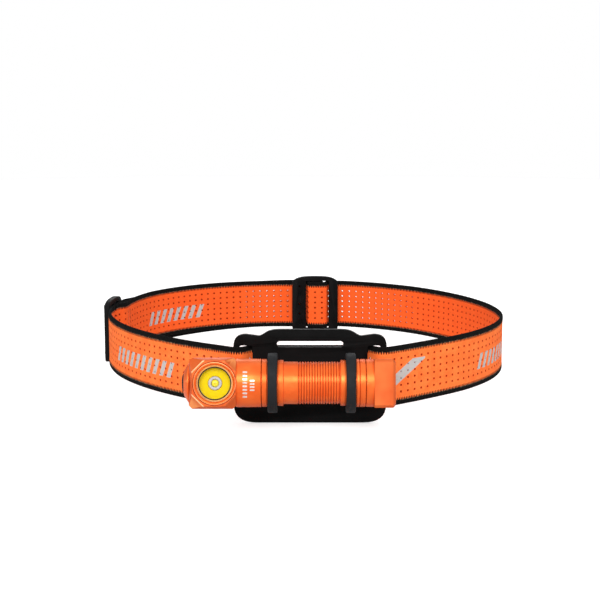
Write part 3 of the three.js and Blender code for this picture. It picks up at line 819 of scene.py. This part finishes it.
def smooth_path(knots, step=0.25):
    """A centripetal Catmull-Rom path through the knots, as closely spaced points."""
    points = [np.array(k, float) for k in knots]
    chain = [2 * points[0] - points[1], *points, 2 * points[-1] - points[-2]]
    out = [points[0]]
    for p0, p1, p2, p3 in zip(chain, chain[1:], chain[2:], chain[3:]):
        d0, d1, d2 = (max(1e-4, np.linalg.norm(b - a) ** 0.5)
                      for a, b in ((p0, p1), (p1, p2), (p2, p3)))
        leave = d1 * ((p1 - p0) / d0 - (p2 - p0) / (d0 + d1) + (p2 - p1) / d1)
        arrive = d1 * ((p2 - p1) / d1 - (p3 - p1) / (d1 + d2) + (p3 - p2) / d2)
        steps = max(2, int(np.linalg.norm(p2 - p1) / step))
        for k in range(1, steps + 1):
            t = k / steps
            square = -3 * p1 + 3 * p2 - 2 * leave - arrive
            cube = 2 * p1 - 2 * p2 + leave + arrive
            out.append(p1 + leave * t + square * t * t + cube * t ** 3)
    return np.array(out)


class Track:
    """A path in plan, read by the distance along it."""

    def __init__(self, points, ease=0.35):
        self.points = points
        steps = np.linalg.norm(np.diff(points, axis=0), axis=1)
        self.along = np.concatenate([[0], np.cumsum(steps)])
        self.length = float(self.along[-1])
        self.ease = ease

    def at(self, s):
        s = np.asarray(s, float)
        return np.stack([np.interp(s, self.along, self.points[:, i]) for i in (0, 1)], -1)

    def left_of(self, s):
        """The unit direction to the left of the way ahead."""
        ahead = self.at(np.minimum(s + self.ease, self.length))
        behind = self.at(np.maximum(s - self.ease, 0))
        way = ahead - behind
        way /= np.linalg.norm(way, axis=-1, keepdims=True)
        return np.stack([-way[..., 1], way[..., 0]], -1)


def slot_crossing(side):
    """The S-bend through a side slot of the plate, from the outside in."""
    middle_y = (BEFORE_PLATE + BEHIND_PLATE) / 2
    half_depth = (BEHIND_PLATE - BEFORE_PLATE) / 2
    bend = [(5.4, -0.94), (2.9, -1), (1.5, -0.8), (0.7, -0.42),
            (-0.7, 0.42), (-1.5, 0.8), (-2.9, 1)]
    return [[PLATE_X + side * (SLOT_MIDDLE + out), middle_y + depth * half_depth]
            for out, depth in bend]


def quarter_turn(centre, radius, start, end):
    turns = [math.radians(start + (end - start) * i / 4) for i in range(5)]
    return [[centre[0] + radius * math.cos(t), centre[1] + radius * math.sin(t)]
            for t in turns]


def weave_knots():
    """Through a slider: outside both outer bars and over the middle one."""
    bend, over_bar = 1.5, -GAP - LAYER - STRAP_HALF_THICK
    left_u, right_u = -3.4, 5.9
    low = over_bar + 1.7
    return [
        [-JOIN_U, PASS_V], [-JOIN_U + 2, PASS_V],
        *quarter_turn((left_u - bend, PASS_V - bend), bend, 90, 0),
        *quarter_turn((left_u + 1.7, low), 1.7, 180, 270),
        *quarter_turn((right_u - 1.7, low), 1.7, 270, 360),
        *quarter_turn((right_u + bend, PASS_V - bend), bend, 180, 90),
        [JOIN_U - 2, PASS_V], [JOIN_U, PASS_V],
    ]


def sewn_knots():
    """A strap's end: in above the passing strap, round the middle bar and back."""
    near = GAP + STRAP_HALF_THICK
    return [
        [-JOIN_U, SEWN_V], [-9, SEWN_V], [-5, SEWN_V], [-2.9, SEWN_V - 0.6], [-1.2, 3.6],
        [0.2, PASS_V + 0.2], [1.2, PASS_V],
        *quarter_turn((BAR_RIGHT, FACE_V), near, 90, 0),
        *quarter_turn((BAR_RIGHT, 0), near, 0, -90)[1:],
        *quarter_turn((BAR_LEFT, 0), near, 270, 180),
        [BAR_LEFT - near, FACE_V + 0.1], [-1.9, 2.7], [-3.3, TURNED_V - 0.15],
        [-5, TURNED_V + 0.02], [-8, TURNED_V + 0.02], [-11.4, TURNED_V + 0.02],
    ]


def slider_track(slider, knots):
    return Track(smooth_path([at_slider(slider, u, v) for u, v in knots], 0.12), 0.2)


def right_knots():
    return [
        at_slider(BACK_SLIDER, JOIN_U, PASS_V), [25, 78.2], [41, 70.9], [58.2, 58.2],
        [72.1, 41.6], [83, 22.2], [90.2, 0], [91.8, -24.6], [85.2, -49.2],
        [71.3, -71.3], [51.9, -89.9], [PLATE_X + PLATE_HALF + 3, BEFORE_PLATE + 2],
    ]


def left_knots():
    return [
        [PLATE_X - PLATE_HALF - 3, BEFORE_PLATE + 2], [-50.6, -87.6], [-68.5, -68.5],
        [-81.6, -47.1], [-89.1, -24], at_slider(LEFT_SLIDER, JOIN_U, PASS_V),
    ]


def inner_knots():
    return [
        at_slider(BACK_SLIDER, -JOIN_U, PASS_V), [-20, 78.9], [-42.1, 73], [-61, 61],
        [-75.7, 43.7], [-82.2, 28], at_slider(LEFT_SLIDER, -JOIN_U, SEWN_V),
    ]


def outer_knots():
    return [
        at_slider(BACK_SLIDER, -JOIN_U, SEWN_V), [-20, 80.9], [-42.9, 74.6],
        [-62.2, 62.3], [-77.2, 44.6], [-84.2, 28.6], at_slider(LEFT_SLIDER, -JOIN_U, PASS_V),
    ]


class StrapMesh:
    """Collects a strap's points in strap coordinates: s along, v across, and the face."""

    def __init__(self):
        self.index = {}
        self.rows = []
        self.faces = []
        self.looks = []

    def point(self, s, v, half, face, count, lip=0):
        """count is the distance in hole pitches, for the pattern. lip is 1 at a hole."""
        face = 0 if half == 0 else face
        key = (round(s, 4), round(v, 4), face)
        if key not in self.index:
            self.index[key] = len(self.rows)
            self.rows.append((s, v, half * face, face, count, lip))
        return self.index[key]

    def face(self, corners, side, look):
        self.faces.append(corners if side > 0 else corners[::-1])
        self.looks.append(look)


def ring_shares(steps):
    """Points round a cell's border as shares of its length and width, anticlockwise."""
    bottom = [(i / steps, 0.0) for i in range(steps)]
    right = [(1.0, 0.0), (1.0, 0.5)]
    top = [(1 - i / steps, 1.0) for i in range(steps)]
    left = [(0.0, 1.0), (0.0, 0.5)]
    return bottom + right + top + left


def add_cell(strap, s0, s1, v0, steps, number, look):
    """One hole with the fabric round it, on both faces."""
    shares = ring_shares(steps)
    middle_s, middle_v = (s0 + s1) / 2, v0 + ROW_PITCH / 2
    loops = {}
    for side in (1, -1):
        border, lip = [], []
        for a, b in shares:
            s, v = s0 + (s1 - s0) * a, v0 + ROW_PITCH * b
            border.append(strap.point(s, v, FACE_HALF, side, number + a))
            turn = math.atan2(v - middle_v, s - middle_s)
            hole_s = middle_s + HOLE_RADIUS * math.cos(turn)
            hole_v = middle_v + HOLE_RADIUS * math.sin(turn)
            share = (hole_s - s0) / (s1 - s0)
            lip.append(strap.point(hole_s, hole_v, HOLE_LIP, side, number + share, 1))
        for i in range(len(border)):
            j = (i + 1) % len(border)
            strap.face([border[i], border[j], lip[j], lip[i]], side, look)
        loops[side] = lip
    front, back = loops[1], loops[-1]
    for i in range(len(front)):
        j = (i + 1) % len(front)
        strap.face([front[i], front[j], back[j], back[i]], 1, look)


def add_margin(strap, s0, s1, steps, number, look, edge):
    """The black edge beside one column of holes. edge is 1 at the top, -1 below."""
    fine = 2 * RIBS_PER_HOLE
    per_step = fine // steps

    def place(k, strip, side):
        far, half, share = EDGE_STRIPS[strip]
        wave = share * (1 if k % 2 else -1)
        out = far + (RIB_REACH * wave if strip >= 4 else 0)
        thick = half + RIB_HEIGHT * wave if half else 0
        return strap.point(s0 + (s1 - s0) * k / fine, edge * out, thick, side, number + k / fine)

    for side in (1, -1):
        turn = side * edge
        for i in range(steps):
            inner = [strap.point(s0 + (s1 - s0) * (i + a) / steps, edge * PANEL_HALF, FACE_HALF,
                                 side, number + (i + a) / steps) for a in (0, 1)]
            outer = [place(k, 0, side) for k in range(i * per_step, (i + 1) * per_step + 1)]
            strap.face([*inner, *outer[::-1]], turn, look)
        for strip in range(len(EDGE_STRIPS) - 1):
            for k in range(fine):
                corners = [place(k, strip, side), place(k + 1, strip, side),
                           place(k + 1, strip + 1, side), place(k, strip + 1, side)]
                strap.face(corners, turn, look)


def close_end(strap, s):
    """Joins the two faces across the strap's cut end."""
    rows = {}
    for side in (1, -1):
        found = []
        for index, (ps, pv, _, face, _, _) in enumerate(strap.rows):
            if abs(ps - s) < 1e-6 and face in (side, 0):
                found.append((pv, index))
        rows[side] = [i for _, i in sorted(found)]
    front, back = rows[1], rows[-1]
    for i in range(min(len(front), len(back)) - 1):
        corners = [front[i], back[i], back[i + 1], front[i + 1]]
        unique = list(dict.fromkeys(corners))
        if len(unique) > 2:
            strap.face(unique, -1, 0)


def strap_piece(name, track, looks, steps, first=0.0, last=None, marks=(), droop=None,
                cut_end=False, outer=1):
    """A strap along part of a track. marks are (distance of the middle, reach, look)."""
    last = track.length if last is None else last
    columns = max(1, round((last - first) / HOLE_PITCH))
    strap = StrapMesh()
    for column in range(columns):
        s0 = first + (last - first) * column / columns
        s1 = first + (last - first) * (column + 1) / columns
        here = steps(s0, s1) if callable(steps) else steps
        look = 0
        for where, reach, number in marks:
            if abs((s0 + s1) / 2 - where) < reach:
                look = number
        for row in range(ROWS):
            add_cell(strap, s0, s1, -PANEL_HALF + row * ROW_PITCH, here, column, look)
        for edge in (1, -1):
            add_margin(strap, s0, s1, here, column, look, edge)
    if cut_end:
        close_end(strap, last)
    return bake_strap(name, strap, track, looks, marks, droop, outer)


def bake_strap(name, strap, track, looks, marks, droop, outer):
    """Bends the flat strap along its track and writes its pattern coordinates."""
    s, v, off, face, count, lip = np.array(strap.rows).T
    flat = track.at(s) + track.left_of(s) * off[:, None]
    points = np.column_stack([flat, v - (droop(s) if droop else 0)])
    piece = add_piece(name, points.tolist(), strap.faces, looks, None,
                      smooth=FABRIC_ANGLE)
    mesh = piece.data
    mesh.transform(RING_FRAME)
    gap = np.full(len(s), NO_MARK)
    for where, _, _ in marks:
        nearer = np.abs(s - where) < np.abs(gap)
        gap[nearer] = (s - where)[nearer]
    pattern = np.column_stack([count * HOLE_PITCH, v, face * outer])
    for label, kind, field, values in (("weave", "FLOAT_VECTOR", "vector", pattern),
                                       ("from_mark", "FLOAT", "value", gap),
                                       ("hole", "FLOAT", "value", lip)):
        attribute = mesh.attributes.new(label, kind, "POINT")
        attribute.data.foreach_set(field, values.astype(np.float32).ravel())
    mesh.polygons.foreach_set("material_index", strap.looks)
    face_outwards(piece)
    return piece


def tight_near(place, reach):
    """Fine steps along the strap near a tight bend, coarser ones elsewhere."""
    def steps(s0, s1):
        return 4 if abs((s0 + s1) / 2 - place) < reach else 2
    return steps


def distance_of(track, x, y):
    """How far along the track the point nearest to x, y is."""
    away = np.linalg.norm(track.points - np.array([x, y]), axis=1)
    return float(track.along[int(np.argmin(away))])


# How far the prints reach along the strap from their middles.
DASH_REACH = 29.0
SHORT_ROW_REACH = 24
STROKE_REACH = 13.5
BEND_REACH = 9


def build_long_straps():
    looks = [LOOKS["webbing"], LOOKS["webbing_dashes"], LOOKS["webbing_stroke"]]
    middle = [PLATE_X, BEHIND_PLATE]
    sides = (  # name, slider, way, knots, marks as place, reach and look, blend
        ("right", "back", 1, [*right_knots(), *slot_crossing(1), middle],
         [((86.7, -44.8), DASH_REACH, 1), ((39.8, -99.6), STROKE_REACH, 2)],
         (58.2, 58.2), (22, 78.4)),
        ("left", "left", -1, [middle, *slot_crossing(-1)[::-1], *left_knots()],
         [((-70.2, -65.7), DASH_REACH, 1)], (-83, -44), (-91.2, -10.5)),
    )
    for side, slider, way, knots, prints, start, end in sides:
        track = Track(smooth_path(knots))
        bend = distance_of(track, PLATE_X + way * SLOT_MIDDLE, SLOT_BEND_Y)
        marks = [(distance_of(track, *place), reach, look) for place, reach, look in prints]
        piece = strap_piece(f"fabric_{side}_side", track, looks, tight_near(bend, BEND_REACH),
                            marks=marks)
        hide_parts(f"strap_{slider}_stretch", "strap_front")
        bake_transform(piece)


def build_layers():
    looks = [LOOKS["webbing"], LOOKS["webbing_short_row"]]
    for layer, knots in (("inner", inner_knots()), ("outer", outer_knots())):
        track = Track(smooth_path(knots))
        middle = track.length / 2

        def droop(s, length=track.length, on=layer == "outer"):
            share = np.clip(s / length, 0, 1) ** 1.5
            return OUTER_SAG * np.sin(math.pi * share) * on

        marks = []
        if layer == "inner":
            marks = [(distance_of(track, -67.5, 54.4), SHORT_ROW_REACH, 1)]
        ends = (("back", 0, middle, (-50, 68.5), (-8.6, 79.4)),
                ("left", middle, None, (-76, 44.5), (-86.2, 20)))
        for side, first, last, start, end in ends:
            piece = strap_piece(f"fabric_{layer}_{side}", track, looks, 2, first, last, marks,
                                droop, outer=-1)
            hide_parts(f"strap_{layer}_{side}_stretch", f"strap_{layer}_layer")
            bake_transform(piece)


def build_slider_straps():
    for side, slider in SLIDERS.items():
        body = f"{side}_slider_body"
        outer = 1 if side == "back" else -1      # the left slider's straps lie inside it
        for part, knots in (("weave", weave_knots()), ("sewn_end", sewn_knots())):
            piece = strap_piece(f"fabric_{side}_{part}", slider_track(slider, knots),
                                [LOOKS["webbing"]], 4, cut_end=part == "sewn_end", outer=outer)
            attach(piece, body)
            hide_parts(f"strap_{side}_{part}")
        build_stitches(side, slider, body)


STITCH = 1.5              # mm, length of one
THREAD = 0.13             # half the thread's thickness
STITCH_PITCH = 1.9
STITCH_BOW = 0.16
SEAM_ENDS = (-6.4, -10.6)
SEAM_HALF = 8.6           # half a seam's length


def stitch(points, faces, centre, along, across, out):
    """One stitch: a short thread bowed outwards between two needle holes."""
    rings = 5
    corners = 6
    start = len(points)
    for i in range(rings):
        t = i / (rings - 1)
        bow = math.sin(math.pi * t)
        spine = centre + along * (t - 0.5) * STITCH + out * (bow * STITCH_BOW - STITCH_BOW / 2)
        for k in range(corners):
            turn = 2 * math.pi * k / corners
            around = across * math.cos(turn) + out * math.sin(turn)
            points.append(tuple(spine + around * THREAD))
    faces += ring_faces(rings, corners, start)
    faces.append(tuple(range(start + corners - 1, start - 1, -1)))
    faces.append(tuple(range(start + (rings - 1) * corners, start + rings * corners)))


def build_stitches(side, slider, body):
    """Two rows of stitches across the strap and two along it, that hold its turned-back end."""
    points, faces = [], []
    u_way, v_way = slider_ways(slider)
    up = Vector((0, 0, 1))
    face = SEWN_V + FACE_HALF + 0.02
    near, far = SEAM_ENDS
    rows = [((near, -SEAM_HALF), (near, SEAM_HALF)), ((far, -SEAM_HALF), (far, SEAM_HALF)),
            ((near, -SEAM_HALF), (far, -SEAM_HALF)), ((near, SEAM_HALF), (far, SEAM_HALF))]
    for row in rows:
        start, end = Vector(row[0]), Vector(row[1])
        count = max(2, round((end - start).length / STITCH_PITCH))
        way = (end - start).normalized()
        along = u_way * way.x + up * way.y
        across = u_way * -way.y + up * way.x
        for i in range(count):
            at = start + (end - start) * (i + 0.5) / count
            centre = Vector((*slider[:2], 0)) + u_way * at.x + up * at.y + v_way * face
            stitch(points, faces, centre, along, across, v_way)
    piece = add_piece(f"stitching_{side}", points, faces, LOOKS["thread"], None)
    piece.data.transform(RING_FRAME)
    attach(piece, body)


# ---- Plate, loops and sliders ----


def disc_cutter(centre, way, radius, depth):
    """A short rod that cuts a round pit of the given depth, centred on a face."""
    mesh = bpy.data.meshes.new("cutter")
    shape = bmesh.new()
    bmesh.ops.create_cone(shape, cap_ends=True, segments=24, radius1=radius * MM,
                          radius2=radius * MM, depth=2 * depth * MM)
    shape.to_mesh(mesh)
    shape.free()
    cutter = link_new("cutter", mesh)
    turn = Vector(way).to_track_quat("Z", "Y")
    cutter.matrix_world = Matrix.Translation(centre) @ turn.to_matrix().to_4x4()
    return cutter


THROUGH = 3.0             # mm, deeper than a slider
PITS = (                  # u and height, radius, depth
    (-8.3, 9.8, 0.55, THROUGH), (-8.3, 5.4, 0.8, 0.25), (-8.3, 0.2, 0.6, THROUGH),
    (-8.3, -4.9, 0.6, THROUGH), (-8.1, -9.6, 1.25, 0.25),
)


def build_sliders():
    for side, slider in SLIDERS.items():
        piece = from_node(f"{side}_slider_moulded", f"{side}_slider", "plastic")
        _, v_way = slider_ways(slider)
        soften(piece, 0.55)
        cutters = []
        for u, z, radius, depth in PITS:
            spot = at_slider(slider, u, -FACE_V)
            cutters.append(disc_cutter(in_row(*spot, z), v_way, radius, depth))
        combine(piece, "DIFFERENCE", cutters)
        smooth_up_to(piece.data, 40)
        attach(piece, f"{side}_slider_body")


def build_plate():
    piece = from_node("mount_plate_moulded", "mount_plate", "plastic")
    soften(piece, 0.5)
    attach(piece, "strap_and_mount")


LOOP_XS = (-12.15, 18.75)
LOOP_IN = 9.3
LOOP_OUT = 11.9
LOOP_HALF = 2.05
LOOP_WAIST = 0.10         # how much narrower a loop is in front
STEM_HALF_HIGH = 7.0


def loop_ring(x):
    """The ring of a loop: a rounded band, narrower in front at mid-height."""
    points = []
    section = rounded([(-1, 0), (-1, 1), (1, 1), (1, 0)], 0.35, True, 4)
    for i in range(SEGMENTS):
        turn = 2 * math.pi * i / SEGMENTS
        front = max(0.0, -math.cos(turn))
        half = LOOP_HALF * (1 - LOOP_WAIST * front ** 2)
        for a, b in section:
            radius = LOOP_IN + (LOOP_OUT - LOOP_IN) * b
            points.append((x + half * a, LAMP_Y + radius * math.cos(turn),
                           LAMP_Z + radius * math.sin(turn)))
    return points, ring_faces(SEGMENTS, len(section), wrap=True)


def build_loops():
    for name, x in zip(("head", "tail"), LOOP_XS):
        points, faces = loop_ring(x)
        ring = add_piece(f"loop_{name}_moulded", points, faces, LOOKS["silicone"], None)
        ring.data.transform(RING_FRAME)
        face_outwards(ring)
        combine(ring, "UNION", [stem_block(x)])
        smooth_up_to(ring.data, 45)
        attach(ring, "strap_and_mount")
        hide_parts(f"retaining_loop_{name}")


def stem_block(x):
    """The foot that joins a loop to the plate, hollowed where the lamp lies."""
    high = STEM_HALF_HIGH
    back = PLATE_FRONT_Y + 0.7
    reach = LOOP_IN + 1.2
    turns = [math.radians(t) for t in range(-42, 43, 6)]
    hollow = [(LAMP_Y + reach * math.cos(t), LAMP_Z + reach * math.sin(t)) for t in turns]
    hollow = [p for p in hollow if abs(p[1]) < high - 0.4]
    outline = [(back, high), (hollow[-1][0] + 0.4, high), *hollow[::-1],
               (hollow[0][0] + 0.4, -high), (back, -high)]
    outline = rounded(outline, 0.3, True, 2)
    count = len(outline)
    points = [(x + way * LOOP_HALF, y, z) for way in (-1, 1) for y, z in outline]
    faces = [list(range(count)), list(range(2 * count - 1, count - 1, -1))]
    mesh = new_mesh("stem", points, faces + ring_faces(2, count))
    mesh.transform(RING_FRAME)
    stem = link_new("stem", mesh)
    face_outwards(stem)
    return stem


# ---- Lamp ----

HEAD_LEFT = -44.9
HEAD_RIGHT = -26.3
HEAD_HALF = 10.0
EDGE_CUT = 1.3            # of the head's long edges
NECK_RADIUS = 9.6
NECK_END = -16.6
TUBE_BORE = 7.4
TUBE_MALE = 8.2
SCREW_BORE = 8.5
TAIL_LEFT = 24.8
TAIL_SQUARE = 27.8
TAIL_END = 36.2
TAIL_HALF = 9.5
BEZEL_PROUD = 0.25        # how far the bezel stands out of the head
CORNER_ROUND = 0.35
PER_SIDE = 6              # points along each side of the head's outline
HEAD_OPENING = ((7.8, -1.0), (7.8, -8.4), (8.5, -8.5), (8.6, -8.6), (8.6, -9.9), (8.7, -10.0))
HEAD_SIZES = (            # depth, left, right, half height, chamfer
    (-10.0, -43.45, -26.55, 8.85, 4.35), (-9.93, -43.6, -26.38, 9.0, 4.45),
    (-9.75, -43.72, -26.3, 9.12, 4.5), (-7.1, -44.78, -26.3, 9.9, EDGE_CUT + 0.3),
    (-6.8, -44.9, -26.3, 10.0, EDGE_CUT), (0.0, -44.9, -26.3, 10.0, EDGE_CUT),
)
TAIL_OPENING = ((34.9, 6.9), (31.8, 6.9), (31.8, SCREW_BORE), (TAIL_SQUARE, SCREW_BORE))
TAIL_INSETS = (           # place along the tail and how far its outline is drawn in
    (TAIL_SQUARE, 0.25), (TAIL_SQUARE + 0.07, 0.08), (TAIL_SQUARE + 0.25, 0),
    (TAIL_END - 1.15, 0), (TAIL_END - 0.95, 0.07), (TAIL_END - 0.2, 0.8),
    (TAIL_END - 0.05, 1.0), (TAIL_END, 1.25),
)


def octagon(x0, x1, half, chamfer):
    """A rectangle with cut corners, anticlockwise in x and z, from its lower right."""
    return [(x1 - chamfer, -half), (x1, -half + chamfer), (x1, half - chamfer),
            (x1 - chamfer, half), (x0 + chamfer, half), (x0, half - chamfer),
            (x0, -half + chamfer), (x0 + chamfer, -half)]


def resampled(corners):
    """A closed outline with rounded corners and the same number of points for any size."""
    out = []
    count = len(corners)
    for i in range(count):
        here, after = Vector(corners[i]), Vector(corners[(i + 1) % count])
        before = Vector(corners[i - 1])
        to_after = after - here
        near_after = min(CORNER_ROUND, 0.4 * to_after.length)
        reach = min(near_after, 0.4 * (before - here).length)
        out += corner_arc(before, here, after, reach, 3)
        end = here + to_after.normalized() * reach
        leave = after - to_after.normalized() * near_after
        for k in range(1, PER_SIDE + 1):
            out.append(tuple(end + (leave - end) * k / (PER_SIDE + 1)))
    return out


def opening(outline, middle, radius):
    """A round opening with one point towards each point of an outline."""
    turns = [math.atan2(b, a - middle) for a, b in outline]
    return [(middle + radius * math.cos(t), radius * math.sin(t)) for t in turns]


def block_piece(name, node, body, rings):
    """A solid through rings of points, with both ends closed."""
    width = len(rings[0])
    points = [point for ring in rings for point in ring]
    faces = ring_faces(len(rings), width)
    faces.append(tuple(range(width - 1, -1, -1)))
    faces.append(tuple(range(len(points) - width, len(points))))
    piece = add_piece(name, points, faces, LOOKS["anodised_block"], body,
                      [node], LAMP_FRAME, BLOCK_ANGLE)
    face_outwards(piece)


def build_head_block():
    """The milled block: octagonal front with a round opening, straight sides, round back."""
    first = resampled(octagon(*HEAD_SIZES[0][1:]))
    layers = [(y, opening(first, OPTIC_X, radius)) for radius, y in HEAD_OPENING]
    layers += [(y, resampled(octagon(*size))) for y, *size in HEAD_SIZES]
    for degrees in range(8, 89, 8):
        turn = math.radians(degrees)
        half = HEAD_HALF * math.cos(turn)
        inset = EDGE_CUT * min(1.0, half / 5)
        outline = resampled(octagon(HEAD_LEFT, HEAD_RIGHT, half, inset))
        layers.append((HEAD_HALF * math.sin(turn), outline))
    rings = [[(x, y, z) for x, z in outline] for y, outline in layers]
    block_piece("head_block", "head_housing", "lamp", rings)


def build_head():
    build_head_block()
    front = HEAD_HALF + BEZEL_PROUD
    turned_piece("head_neck", "head_housing", "anodised_neck", 0.22, [
        (-26.6, SCREW_BORE), (-26.6, NECK_RADIUS), (NECK_END, NECK_RADIUS),
        (NECK_END, SCREW_BORE)])
    turned_piece("bezel_ring", "lens_bezel", "anodised_bezel", 0.16, [
        (front - 1.45, 6.5), (front - 1.45, 8.4), (front, 8.4), (front, 7.75),
        (front - 0.25, 7.55)], axis="beam")
    turned_piece("lens_seal", "lens_o_ring", "rubber", 0.02, ring_section(8.33, 6.43, 0.34),
                 axis="beam")
    turned_piece("optic_face", "tir_optic", "optic", 0.1, [
        (4.2, 2.75), (4.6, 5.2), (5.7, 6.9), (6.4, 6.9), (6.4, 6.35), (6.1, 6.2),
        (5.9, 2.95), (5.4, 2.75)], axis="beam")
    # A grey ring piece that carries a painted reflection of the emitter's cavity.
    turned_piece("optic_ring", "tir_optic", "optic_ring", 0.15, [
        (4.6, 1.55), (4.6, 2.7), (5.9, 2.7), (6.2, 2.3), (6.1, 1.8), (5.6, 1.5)], axis="beam")
    turned_piece("optic_middle", "tir_optic", "optic_core", 0.25, [
        (4.4, 0), (4.4, 1.45), (5.2, 1.45), (5.7, 0.9), (5.85, 0)], False, "beam")
    turned_piece("switch_surround", "switch_bezel", "anodised", 0.14, [
        (-47.2, 4.1), (-47.2, 5.1), (-45.5, 7.8), (-44.97, 7.8), (-44.97, 5.2),
        (-46.1, 5.2), (-46.1, 4.1)])
    turned_piece("switch_boot", "switch_button", "rubber", 0.3, [
        (-44.9, 0), (-44.9, 2), (-45.2, 2), (-45.2, 4.9), (-45.8, 4.9), (-45.8, 3.8),
        (-47.1, 3.8), (-47.8, 3.4), (-48.05, 2.4), (-47.85, 0.9), (-47.8, 0)],
        False, body="button")


def ring_section(along, radius, wire):
    turns = [2 * math.pi * k / 12 for k in range(12)]
    return [(along + wire * math.cos(t), radius + wire * math.sin(t)) for t in turns]


def ridges(start, end, pitch, low, high):
    """Ridges and grooves along a tube."""
    out = []
    x = start
    while x + pitch <= end + 1e-6:
        out += [(x, high), (x + pitch * 0.50, high), (x + pitch * 0.60, low),
                (x + pitch * 0.90, low)]
        x += pitch
    return out


def build_tube():
    thin, seal = 8.4, 7.75
    outline = [
        (-23.8, TUBE_BORE), (-23.8, TUBE_MALE - 0.3),
        *ridges(-23.4, -19.4, 1.0, TUBE_MALE - 0.3, TUBE_MALE),
        (-19, TUBE_MALE), (-18.7, TUBE_MALE), (-18.7, seal), (-17.6, seal),
        (-17.6, TUBE_MALE), (-16.3, TUBE_MALE), (-16.3, 9.5), (-14.4, 9.5), (-14.4, 9.0),
        (-9.9, 9.0), (-9.9, 9.1), (-7.9, 9.1), (-7.7, thin),
        *ridges(-2.6, 14.5, 1.06, thin - 0.3, thin),
        (14.6, thin), (14.8, 9.1), (16.5, 9.1), (16.5, 9.0), (21, 9.0), (21, 9.5),
        (22.1, 9.5), (22.1, 8.5), (22.4, 8.5), (22.4, 9.5), (24.5, 9.5), (24.5, TUBE_MALE),
        (25.4, TUBE_MALE), (25.4, seal), (26.5, seal), (26.5, TUBE_MALE), (26.8, TUBE_MALE),
        *ridges(27, 31, 1.0, TUBE_MALE - 0.3, TUBE_MALE),
        (31.2, TUBE_MALE - 0.3), (31.2, TUBE_BORE),
    ]
    turned_piece("tube_machined", "battery_tube", "anodised_tube", 0.1, outline)
    for end, x in (("head", -18.15), ("tail", 25.95)):
        turned_piece(f"{end}_seal", f"{end}_o_ring", "rubber", 0.02, ring_section(x, 8.15, 0.3))


def tail_outline(half, chamfer=1.0):
    """The tail's section in y and z: flat in front, round behind."""
    points = [(-half, -(half - chamfer)), (-half, 0), (-half, half - chamfer),
              (-(half - chamfer), half), (-3, half)]
    points += [(half * math.sin(math.radians(t)), half * math.cos(math.radians(t)))
               for t in range(0, 181, 6)]
    points += [(-3, -half), (-(half - chamfer), -half)]
    return points


def build_tail():
    collar_end = TAIL_SQUARE + 0.2
    turned_piece("tail_collar", "tail_cap", "anodised", 0.25, [
        (TAIL_LEFT, SCREW_BORE), (TAIL_LEFT, TAIL_HALF), (collar_end, TAIL_HALF),
        (collar_end, SCREW_BORE)], body="tail_cap_body")
    full = tail_outline(TAIL_HALF)
    layers = [(x, opening(full, 0, radius)) for x, radius in TAIL_OPENING]
    layers += [(x, tail_outline(TAIL_HALF - inset)) for x, inset in TAIL_INSETS]
    rings = [[(x, y, z) for y, z in outline] for x, outline in layers]
    block_piece("tail_block", "tail_cap", "tail_cap_body", rings)


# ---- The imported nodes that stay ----

KEPT = {
    "lens_window": "glass", "led_gasket": "white", "led_emitter": "optic_core",
    "led_board": "copper", "led_wire_top": "copper", "led_wire_bottom": "copper",
    "driver_board": "board", "driver_ring": "brass", "driver_contact": "brass",
    "tact_switch": "steel", "switch_lead": "copper", "battery_can": "steel",
    "battery_sleeve": "sleeve", "battery_nub": "steel", "tail_magnet": "steel",
    "tail_board": "board", "tail_spring": "steel",
}


def dress_nodes():
    for node, look in KEPT.items():
        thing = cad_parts[node]
        thing.data.materials.clear()
        thing.data.materials.append(LOOKS[look])


def set_view():
    scene = bpy.context.scene
    scene.view_settings.view_transform = "Standard"
    scene.view_settings.look = "None"


add_camera()
set_view()
add_world()
add_lights()
add_floor(floor_paint())
build_plate()
build_sliders()
build_loops()
build_head()
build_tube()
build_tail()
build_long_straps()
build_layers()
build_slider_straps()
dress_nodes()
